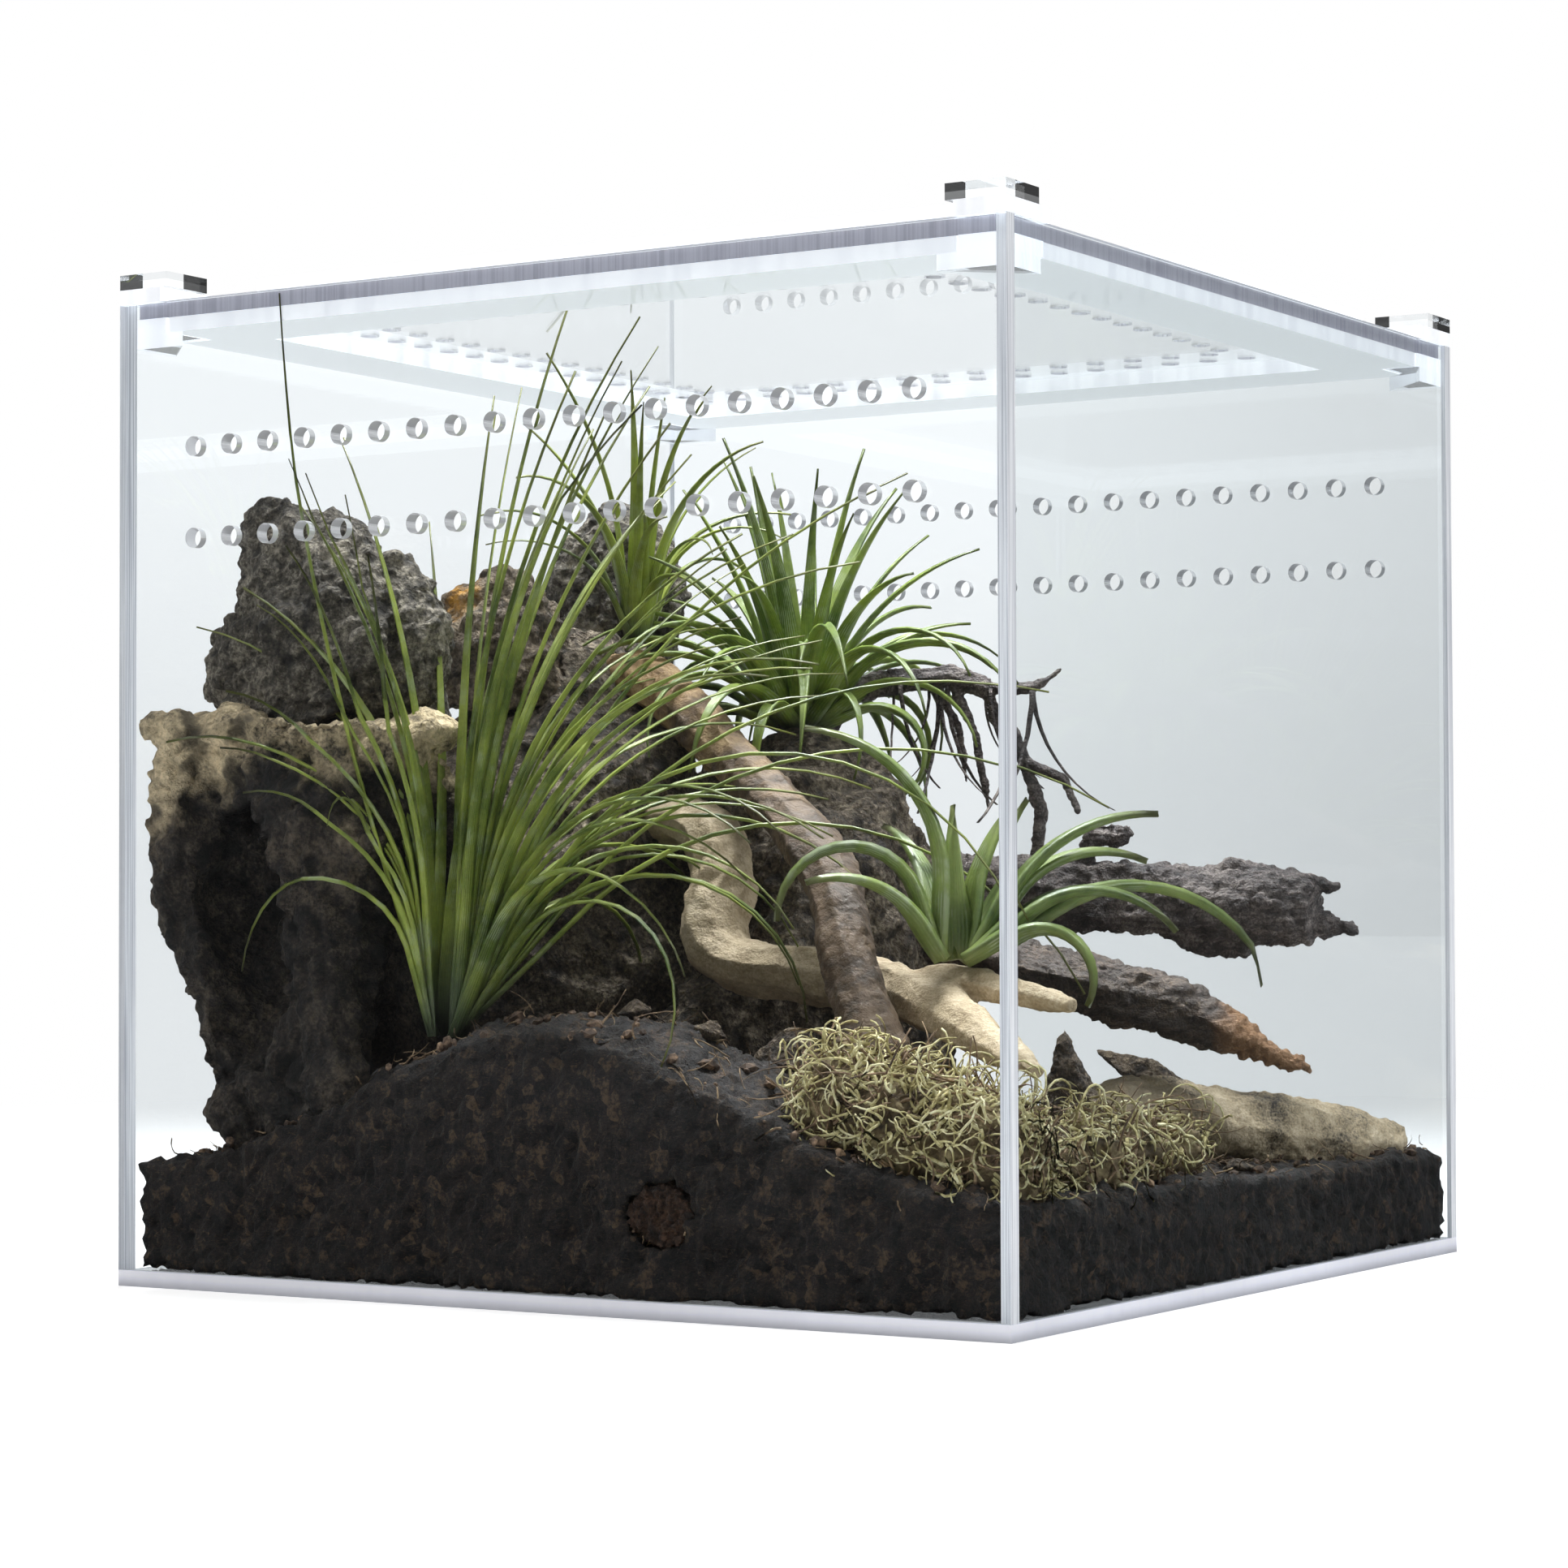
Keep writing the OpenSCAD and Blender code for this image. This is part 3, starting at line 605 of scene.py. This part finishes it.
# %% Leaf finish
def make_leaf(name, foot, dark, pale, tip, silver, shine=0.38):
    f = Finish(name)
    unrolled = f.node("ShaderNodeTexCoord", output="UV")
    along, across = f.axis(unrolled, "X"), f.axis(unrolled, "Y")
    patch, fine = f.noise(16, 3, 0.55), f.noise(0.7, 3, 0.6)
    colour = f.ramp(patch * 0.85 + fine * 0.15, [(0.36, dark), (0.64, pale)])
    veins = f.math("PINGPONG", across, 0.06) * 8
    colour = f.mix(colour, tuple(1.3 * c for c in pale), veins * 0.4)
    bloom = f.step(f.noise(6, 3, 0.6), 0.5, 0.66) * f.step(veins, 0.1, 0.4)
    colour = f.mix(colour, silver, bloom * 0.55)
    colour = f.mix(foot, colour, f.step(along, 0.0, 0.2))
    colour = f.mix(colour, tip, f.step(along, 0.72, 1.0) * 0.7)
    return f.show(f.surface(colour, shine, f.bump(veins + fine * 0.5, 0.12), **{
        "Subsurface Weight": 0.15, "Subsurface Radius": (0.4 * MM, 0.8 * MM, 0.2 * MM)}))


grass_green = make_leaf(
    "grass_leaf", foot=(0.075, 0.1, 0.055), dark=(0.045, 0.08, 0.008), pale=(0.36, 0.43, 0.075),
    tip=(0.1, 0.09, 0.022), silver=(0.45, 0.52, 0.36))
spiky_green = make_leaf(
    "spiky_leaf", foot=(0.09, 0.11, 0.06), dark=(0.035, 0.075, 0.009), pale=(0.28, 0.37, 0.06),
    tip=(0.08, 0.1, 0.022), silver=(0.46, 0.52, 0.36))
broad_green = make_leaf(
    "broad_leaf", foot=(0.22, 0.27, 0.09), dark=(0.06, 0.105, 0.02), pale=(0.25, 0.32, 0.085),
    tip=(0.1, 0.09, 0.035), silver=(0.42, 0.47, 0.34), shine=0.34)

# %% [markdown]
# Two of the air plants are tufts of thin leaves that arch over. Hair would be quick to comb, but it makes no
# mesh, so each leaf is a copy of the blade. The grassy plant fans out in two sheaves. A few of its long
# leaves are placed one by one, because each is seen on its own. The wispy plant uses the same blade.

# %% Grassy and wispy plants
grass_blade = leaf_blank("grass_blade", 0.1, 0.0034, 0.0004, belly=0.05, sharp=1.05)
grass_crown = crown_of("grassy_plant", 0.006)
grass = rosette(grass_blade, grass_crown, 50, heading=(-18, 84), tilt=(2, 36), bend=(12, 108),
                length=(148, 90), seed=3, spread=0.003, sway=30)
grass += rosette(grass_blade, grass_crown, 28, heading=(140, 236), tilt=(0, 13), bend=(14, 104),
                 length=(128, 78), seed=4, spread=0.003, sway=30)
LONG_LEAVES = (
    (212, 17, -9, 150), (34, 40, 62, 150), (26, 46, 82, 148),
    (40, 34, 52, 146), (20, 32, 96, 150), (30, 22, 34, 146))
grass += [grow_leaf(grass_blade, grass_crown, heading, tilt, bend, length * MM)
          for heading, tilt, bend, length in LONG_LEAVES]
joined(grass, "grassy_leaves", grass_green, replaces="grassy_plant")
wisps = rosette(grass_blade, crown_of("wispy_plant", 0.005), 18, heading=(-140, 60), tilt=(4, 28),
                bend=(24, 90), length=(66, 40), seed=5, spread=0.002, sway=40)
joined(wisps, "wispy_leaves", grass_green, replaces="wispy_plant")

# %% [markdown]
# The spiky plant has wider, stiffer leaves with a deeper channel. One rosette would make it a ball, so
# there are two: an upright heart, and an outer ring of leaves that curve back and hang.

# %% Spiky plant
spiky_blade = leaf_blank("spiky_blade", 0.06, 0.0056, 0.0006, belly=0.05, channel=0.3, sharp=1.15)
spiky_crown = crown_of("spiky_plant", 0.008)
spikes = rosette(spiky_blade, spiky_crown, 32, heading=(-170, 170), tilt=(3, 46), bend=(6, 72),
                 length=(64, 46), seed=6, twist=30, spread=0.003, sway=14)
spikes += rosette(spiky_blade, spiky_crown, 30, heading=(-160, 175), tilt=(34, 70), bend=(70, 126),
                  length=(66, 48), seed=7, twist=30, spread=0.003, sway=18)
joined(spikes, "spiky_leaves", spiky_green, replaces="spiky_plant")

# %% [markdown]
# The broad-leaved plant has few leaves, and each has its own gesture, so they are placed one by one:
# heading, tilt from upright, bend, length in millimetres, twist and sway.

# %% Broad plant
broad_blade = leaf_blank("broad_blade", 0.06, 0.0058, 0.0013, belly=0.3, channel=0.3, sharp=1.6)
broad_crown = crown_of("broad_plant", 0.006)
GESTURES = (
    (206, 20, 124, 54, 10, 0), (206, 0, 66, 60, 30, 12), (118, 3, 14, 30, 25, 0), (46, 30, 50, 50, -10, 0),
    (34, 48, 74, 46, 8, 0), (52, 60, 74, 76, 5, 0), (20, 60, 116, 36, 0, 0), (64, 12, 26, 34, 30, 0),
    (222, 34, 60, 34, 0, 0), (150, 24, 44, 38, 12, 0), (52, 34, 62, 46, 14, 0))
broad = [grow_leaf(broad_blade, broad_crown, heading, tilt, bend, length * MM, twist, 0.0022, sway=sway)
         for heading, tilt, bend, length, twist, sway in GESTURES]
joined(broad, "broad_leaves", broad_green, replaces="broad_plant")

for blank in (grass_blade, spiky_blade, broad_blade):
    bpy.data.objects.remove(blank)

# %% [markdown]
# Bark, cork, wood and soil start from the frame's plain solids. Each gets a fine even skin from a voxel
# remesh, is smoothed so that the solid's facets go, and is then pushed in and out by a few noises: a slow
# one for its shape, a creased one for cracks, and a fine one for grain. The noise lies in space, so what
# meets keeps meeting.

# %% Roughening a plain shape
SMOOTH_MID, CREASED_MID = 0.5, 0.35


def cloud(name, size_mm, creased):
    texture = bpy.data.textures.new(name, "CLOUDS")
    texture.noise_scale, texture.noise_depth = size_mm * MM, 2
    texture.noise_type = "HARD_NOISE" if creased else "SOFT_NOISE"
    return texture


def roughen(node, voxel_mm, waves, material, smooth=4):
    """A copy of a CAD node with a fine skin, pushed by waves of (size, depth, creased) in millimetres."""
    piece = bpy.data.objects.new(node + "_grown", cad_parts[node].data.copy())
    bpy.context.scene.collection.objects.link(piece)
    deselect()
    bpy.context.view_layer.objects.active = piece
    piece.select_set(True)
    bpy.ops.object.mode_set(mode="EDIT")
    bpy.ops.mesh.select_all(action="SELECT")
    bpy.ops.mesh.remove_doubles(threshold=1e-5)
    bpy.ops.object.mode_set(mode="OBJECT")
    remesh = piece.modifiers.new("remesh", "REMESH")
    remesh.mode, remesh.voxel_size, remesh.use_smooth_shade = "VOXEL", voxel_mm * MM, True
    piece.modifiers.new("smooth", "SMOOTH").iterations = smooth
    for i, (size, depth, creased) in enumerate(waves):
        push = piece.modifiers.new(f"wave_{i}", "DISPLACE")
        push.texture = cloud(f"{node}_{i}", size, creased)
        push.texture_coords = "LOCAL"
        push.strength, push.mid_level = depth * MM, CREASED_MID if creased else SMOOTH_MID
    for modifier in list(piece.modifiers):
        bpy.ops.object.modifier_apply(modifier=modifier.name)
    joined([piece], node + "_grown", material, replaces=node)


# %% [markdown]
# Damp soil is nearly black. Crumbs catch the light and fine brown fibres run through it.

# %% Soil finish
def make_soil(name, wet, dry, fibre_brown):
    f = Finish(name)
    grains, crumbs = f.noise(0.9, 4, 0.7), f.noise(4.5, 5, 0.65)
    fibre = f.step(f.noise(1.6, 2, 0.5, stretch=(1, 1, 3.5), distortion=2.5), 0.6, 0.66)
    tone = f.cells(2.2)
    mottle = grains * 0.45 + crumbs * 0.35 + tone * 0.2
    colour = f.ramp(mottle, [(0.4, wet), (0.56, dry), (0.66, fibre_brown)])
    colour = f.mix(colour, fibre_brown, fibre * 0.4)
    return f.show(f.surface(colour, 0.85, f.bump(grains + crumbs * 1.5 + tone * 0.6, 1.1)))


soil = make_soil("damp_soil", (0.006, 0.005, 0.005), (0.02, 0.015, 0.012), (0.085, 0.052, 0.03))
roughen("substrate", 1.25, [(11, 3.5, False), (3.5, 3.0, True), (1.7, 1.3, False)], soil)

# %% [markdown]
# Cork bark is the same stuff all over, in different states: grey and craggy where it stood in the weather,
# brown and crumbly where it broke. Its cracks are painted dark, partly for the soil that fills them and
# partly as painted shade. One function makes every bark from three browns and the size of its crags. A spot
# can have a colour of its own, and what stands above a height can be painted paler, as painted light on the
# torn rim of the trunk.

# %% Bark finish
def make_bark(name, dark, mid, pale, crag_mm, spot=None, spot_at=None, spot_mm=9, painted_light_rim=None, above=None):
    f = Finish(name)
    crags = f.node("ShaderNodeTexNoise", {"noise_type": "RIDGED_MULTIFRACTAL"}, {
        "Vector": f.place, "Scale": 1 / (crag_mm * MM), "Detail": 6, "Roughness": 0.62, "Lacunarity": 2.1,
        "Offset": 0.9, "Gain": 1.6}, "Fac")
    patch, grit, grain = f.noise(crag_mm * 3, 4, 0.6), f.noise(0.8, 4, 0.7), f.noise(crag_mm * 0.5, 6, 0.68)
    tone = patch * 0.35 + grain * 0.35 + grit * 0.3
    colour = f.ramp(tone, [(0.41, dark), (0.5, mid), (0.6, pale)])
    # Painted light: what stands above a height turns paler, on the trunk's top rim.
    if painted_light_rim:
        height = f.axis(f.place, "Z") + (patch - 0.5) * (50 * MM)
        painted_light_tones = f.ramp(tone, [(0.4, mid), (0.5, painted_light_rim), (0.6, tuple(1.7 * c for c in painted_light_rim))])
        colour = f.mix(colour, painted_light_tones, f.step(height, above, above + 12 * MM))
    # Soil and painted shade in the cracks: the crags darken the colour.
    colour = f.mix(colour, tuple(0.3 * c for c in dark), (1 - f.step(crags, 0.1, 0.75)) * 0.8)
    if spot:
        away = f.vector("DISTANCE", f.place, spot_at) + (grain - 0.5) * (20 * MM)
        colour = f.mix(colour, spot, (1 - f.step(away, 0, spot_mm * MM)) * 0.9)
    return f.show(f.surface(colour, 0.88, f.bump(grit * 0.35 + grain + crags * 0.6, 1.6)))


cork = make_bark("cork", (0.006, 0.006, 0.006), (0.03, 0.023, 0.018), (0.11, 0.085, 0.06), 7,
                 painted_light_rim=(0.5, 0.4, 0.25), above=96 * MM)
grey_cork = make_bark("grey_cork", (0.02, 0.017, 0.014), (0.115, 0.1, 0.078), (0.46, 0.41, 0.32), 5)
knob_at = (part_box("cork_knob")[0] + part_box("cork_knob")[1]) / 2 + Vector((-4, -10, 11)) * MM
rusty_cork = make_bark("rusty_cork", (0.035, 0.027, 0.02), (0.15, 0.115, 0.08), (0.38, 0.3, 0.2), 6,
                       spot=(0.62, 0.3, 0.03), spot_at=tuple(knob_at))
crumbly_bark = make_bark("crumbly_bark", (0.016, 0.012, 0.009), (0.115, 0.088, 0.06), (0.4, 0.33, 0.235), 4)
stone_at = (31 * MM, -57 * MM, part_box("bark_chips")[0].z + 8 * MM)
chip_bark = make_bark("chip_bark", (0.03, 0.022, 0.016), (0.17, 0.125, 0.085), (0.42, 0.33, 0.22), 3,
                      spot=(0.2, 0.2, 0.2), spot_at=stone_at, spot_mm=26)
stone_brown = make_bark("reddish_lump", (0.02, 0.011, 0.007), (0.062, 0.032, 0.019), (0.14, 0.07, 0.04), 3)

# %% [markdown]
# The trunk, the bark that stands round it, the mound, the lump in the soil and the loose chips are dressed
# in one go, each with its own finish. A wave is its size, its depth and whether it is creased. The big
# pieces share their waves, and the small ones have finer skins and shallower waves, or they would melt into
# balls.

# %% Bark pieces
CRAGS, CREASES, GRIT = (15, 6, False), (6, 3.4, True), (2.0, 1.0, False)
roughen("cork_tube", 0.8, [CRAGS, CREASES, GRIT], cork)
roughen("cork_tower", 0.6, [(12, 5, False), CREASES, GRIT], grey_cork)
roughen("cork_knob", 0.55, [(10, 4, False), CREASES, GRIT], rusty_cork)
roughen("cork_crest", 0.55, [(10, 4, False), CREASES, GRIT], grey_cork)
roughen("bark_mound", 1.1, [CRAGS, CREASES, GRIT], crumbly_bark)
roughen("soil_stone", 0.5, [(5, 2.5, False), (2, 3.2, True)], stone_brown)
roughen("bark_chips", 0.35, [(3, 1.2, False), (1.2, 0.5, True)], chip_bark, smooth=2)

# %% [markdown]
# Driftwood has lost its bark. Its grain runs along the piece, but a branch bends, so no straight axis
# follows it. The noise is stretched a little along the way the piece mostly runs, and soft stains hide the
# rest. A tip can be torn to fresh wood, and a foot can be darker, in blotches, below a height.

# %% Wood finish
def make_wood(name, dark, mid, pale, stretch, grain_mm=1.1, stain=0.4, depth=0.5, tip=None, tip_from=None,
              foot=None, foot_to=None):
    f = Finish(name)
    grain = f.noise(grain_mm, 5, 0.65, stretch=stretch)
    stains, pits = f.noise(11, 4, 0.55), f.noise(0.5, 2, 0.5)
    tone = grain * (0.75 - stain) + stains * stain + pits * 0.25
    colour = f.ramp(tone, [(0.36, dark), (0.5, mid), (0.62, pale)])
    if tip:
        reach = f.axis(f.place, "X") + (stains - 0.5) * (20 * MM)
        colour = f.mix(colour, f.mix(colour, tip, 0.85), f.step(reach, tip_from, tip_from + 8 * MM))
    if foot:
        height = f.axis(f.place, "Z") + (stains - 0.5) * (60 * MM)
        blotches = f.ramp(grain * 0.5 + stains * 0.5, [(0.42, tuple(0.4 * c for c in foot)), (0.56, foot)])
        colour = f.mix(colour, blotches, 1 - f.step(height, foot_to - 35 * MM, foot_to))
    return f.show(f.surface(colour, 0.66, f.bump(grain + pits * 0.4, depth)))


brown_wood = make_wood(
    "brown_driftwood", (0.17, 0.09, 0.035), (0.37, 0.23, 0.1), (0.6, 0.43, 0.22), (0.3, 0.5, 0.45),
    foot=(0.15, 0.1, 0.06), foot_to=134 * MM)
pale_wood = make_wood(
    "pale_driftwood", (0.3, 0.225, 0.13), (0.52, 0.41, 0.26), (0.72, 0.6, 0.42), (0.35, 0.6, 0.6),
    grain_mm=0.9)
lying_wood = make_wood(
    "lying_driftwood", (0.04, 0.032, 0.026), (0.6, 0.48, 0.31), (0.86, 0.72, 0.52), (0.5, 0.3, 1),
    grain_mm=1.4, stain=0.62)
grey_wood = make_wood(
    "weathered_wood", (0.012, 0.01, 0.01), (0.085, 0.066, 0.06), (0.32, 0.27, 0.24), (0.2, 0.7, 1),
    grain_mm=1.6, stain=0.3, depth=1.4)
slab_wood = make_wood(
    "slab_wood", (0.02, 0.015, 0.012), (0.07, 0.05, 0.038), (0.18, 0.13, 0.09), (0.3, 0.6, 1),
    grain_mm=1.6, stain=0.3, depth=1.0, tip=(0.3, 0.155, 0.065), tip_from=74 * MM)

# %% [markdown]
# The branch, the roots, the log and the slab are worn smooth between their knots. So they are pushed less
# than bark, with a slow wave that keeps their bends, and the log and the slab get deeper creases. The dead
# root is thin and needs a finer skin.

# %% Wood pieces
WOODS = (
    ("driftwood_branch", 0.45, brown_wood, "brown_driftwood",
     [(13, 2.2, False), (4, 0.7, True), (1.6, 0.3, False)]),
    ("driftwood_root", 0.45, pale_wood, "pale_driftwood",
     [(13, 2.0, False), (5, 0.5, True), (1.6, 0.25, False)]),
    ("grounded_wood", 0.45, lying_wood, "pale_driftwood",
     [(10, 3.0, False), (4, 1.2, True), (1.6, 0.4, False)]),
    ("bark_log", 0.45, grey_wood, "dark_wood", [(9, 3.0, False), (3.5, 2.2, True), (1.5, 0.7, False)]),
    ("bark_slab", 0.45, slab_wood, "dark_wood", [(8, 3.0, False), (3.5, 2.0, True), (1.5, 0.6, False)]),
    ("spider_root", 0.32, grey_wood, "dark_wood", [(5, 1.6, False), (1.8, 0.6, True)]))
for wood, voxel_mm, material, slot, waves in WOODS:
    roughen(wood, voxel_mm, waves, material, smooth=3)

# %% [markdown]
# Dry moss is a tangle of curled threads over a denser heart. One thread is a small ring that is extruded
# and turned again and again, a little smaller each time. It has few faces, because there will be hundreds
# of it.

# %% One curled thread
THINNER = 0.93


def thread_blank(name, length, radius, steps, curl):
    deselect()
    bpy.ops.mesh.primitive_circle_add(vertices=4, radius=radius, fill_type="NGON")
    thread = bpy.context.object
    thread.name = name
    bpy.ops.object.mode_set(mode="EDIT")
    here = Vector((0, 0, 0))
    way = Matrix.Identity(3)
    for step in range(steps):
        turn = Matrix.Rotation(math.radians(curl), 3, "XY"[step % 2])
        way = turn @ way
        ahead = way @ Vector((0, 0, length / steps))
        bpy.ops.mesh.extrude_region_move(TRANSFORM_OT_translate={"value": ahead})
        here = here + ahead
        bpy.ops.transform.resize(value=(THINNER, THINNER, THINNER), center_override=here)
    bpy.ops.mesh.select_all(action="SELECT")
    bpy.ops.mesh.normals_make_consistent(inside=False)
    bpy.ops.object.mode_set(mode="OBJECT")
    bpy.ops.object.shade_smooth()
    print(name, len(thread.data.polygons), "faces")
    return thread


# %% [markdown]
# Loose stuff lies where it fell. A particle system could drop it, but copies that are placed in code keep
# their order and their mesh. They go over the plain solids of the frame: a face is drawn by its area, and a
# place on it at random. A copy mostly lies along the surface, because only a share of what points away from
# it is kept.

# %% Scatter copies over a solid
LOOSE, FULL_TURN = 0.35, 6.28
NOT_BELOW, LOOKS_UP = -0.2, 0.3


def pointing(way):
    """The turn that takes +Z to a direction."""
    return way.to_track_quat("Z", "Y").to_matrix().to_4x4()


def scatter(blanks, node, count, seed, lift_mm, size=(0.6, 1.3), facing=NOT_BELOW):
    """Copies of the blanks over the faces of a CAD node whose normal rises more than facing."""
    rng = random.Random(seed)
    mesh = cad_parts[node].data
    faces = [f for f in mesh.polygons if f.normal.z > facing]
    weights = [f.area for f in faces]
    copies = []
    for face in rng.choices(faces, weights, k=count):
        copy = fresh_copy(rng.choice(blanks))
        corners = [mesh.vertices[i].co for i in face.vertices]
        a, b = sorted((rng.random(), rng.random()))
        at = corners[0] * a + corners[1] * (b - a) + corners[2] * (1 - b)
        loose = Vector([rng.gauss(0, 1) for _ in range(3)]).normalized()
        aim = (loose - loose.dot(face.normal) * face.normal * (1 - LOOSE)).normalized()
        turn = pointing(aim) @ Matrix.Rotation(rng.uniform(0, FULL_TURN), 4, "Z")
        raised = Matrix.Translation(at + face.normal * lift_mm * MM * rng.random())
        copy.data.transform(raised @ turn @ Matrix.Scale(rng.uniform(*size), 4))
        copies.append(copy)
    return copies


# %% [markdown]
# Dry moss is straw-coloured, with brown fibres caught in it. Its colour changes over a few millimetres, so
# that no clump is all one tone. The heart underneath is darker and fills the gaps between the threads.

# %% Moss
def make_mottled(name, dark, mid, pale):
    f = Finish(name)
    patch, fine = f.noise(7, 4, 0.6), f.noise(1.2, 3, 0.6)
    return f.show(f.surface(f.ramp(patch * 0.6 + fine * 0.4, [(0.36, dark), (0.5, mid), (0.62, pale)]), 0.8))


moss_heart = make_mottled("moss_heart", (0.04, 0.028, 0.016), (0.14, 0.1, 0.05), (0.32, 0.26, 0.13))
moss_thread = make_mottled("moss_thread", (0.2, 0.15, 0.05), (0.56, 0.5, 0.24), (0.9, 0.86, 0.58))
brown_fibre = make_mottled("brown_fibre", (0.03, 0.019, 0.012), (0.16, 0.1, 0.055), (0.42, 0.3, 0.17))
curls = [thread_blank("curl_a", 0.009, 0.0004, 9, 26), thread_blank("curl_b", 0.014, 0.0003, 10, 34)]
fibres = [thread_blank("fibre_a", 0.008, 0.00016, 6, 12), thread_blank("fibre_b", 0.005, 0.00022, 5, 30)]
for clump, threads, browns, seed in (("front_moss", 700, 340, 8), ("side_moss", 340, 300, 9)):
    roughen(clump, 0.6, [(5, 4, False), (2, 2.5, True)], moss_heart)
    joined(scatter(curls, clump, threads, seed, 1.6), clump + "_threads", moss_thread)
    caught = scatter(fibres, clump, browns, seed + 10, 2.2, (0.8, 1.8))
    joined(caught, clump + "_fibres", brown_fibre)

# %% [markdown]
# Fine black rootlets hang from the dark root. They are the same idea as the moss threads, longer and
# straighter, and start at the root's outer end.

# %% Rootlets
ROOTLETS, SPLAY = 11, 0.25
rootlet = thread_blank("rootlet", 0.03, 0.0006, 10, 9)
root_low, root_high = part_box("spider_root")
upper, outer = between((root_low.z, root_high.z), 0.72), between((root_low.x, root_high.x), 0.3)
hung = [v.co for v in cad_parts["spider_root"].data.vertices if v.co.z > upper and v.co.x > outer]
rng = random.Random(31)
rootlets = []
for at in rng.sample(hung, ROOTLETS):
    copy = fresh_copy(rootlet)
    down = Vector((rng.uniform(-SPLAY, SPLAY), rng.uniform(-SPLAY, SPLAY), -1))
    copy.data.transform(Matrix.Translation(at) @ pointing(down) @ Matrix.Scale(rng.uniform(0.5, 1.15), 4))
    rootlets.append(copy)
joined(rootlets, "hanging_rootlets", grey_wood)
bpy.data.objects.remove(rootlet)

# %% [markdown]
# The top of the soil is littered: crumbs of bark and coir fibres lie on it. A crumb is an icosahedron,
# pressed a little, in a few sizes. Only faces that look up get litter.

# %% Litter on the soil
def crumb_blank(name, radius, press):
    deselect()
    bpy.ops.mesh.primitive_ico_sphere_add(subdivisions=1, radius=radius)
    crumb = bpy.context.object
    crumb.name = name
    bpy.ops.object.mode_set(mode="EDIT")
    bpy.ops.mesh.select_all(action="SELECT")
    bpy.ops.transform.resize(value=press, center_override=(0, 0, 0))
    bpy.ops.object.mode_set(mode="OBJECT")
    return crumb


crumbs = [crumb_blank("crumb_a", 0.0012, (1, 0.7, 1.3)), crumb_blank("crumb_b", 0.0008, (1.2, 0.8, 1))]
crumb_brown = make_mottled("bark_crumb", (0.012, 0.008, 0.006), (0.09, 0.055, 0.034), (0.34, 0.22, 0.13))
crumb_litter = scatter(crumbs, "substrate", 900, 21, 0.9, (0.4, 1.3), facing=LOOKS_UP)
joined(crumb_litter, "soil_crumbs", crumb_brown)
fibre_litter = scatter(fibres, "substrate", 1100, 22, 1.4, (0.5, 1.3), facing=LOOKS_UP)
joined(fibre_litter, "soil_fibres", brown_fibre)
for blank in curls + fibres + crumbs:
    bpy.data.objects.remove(blank)
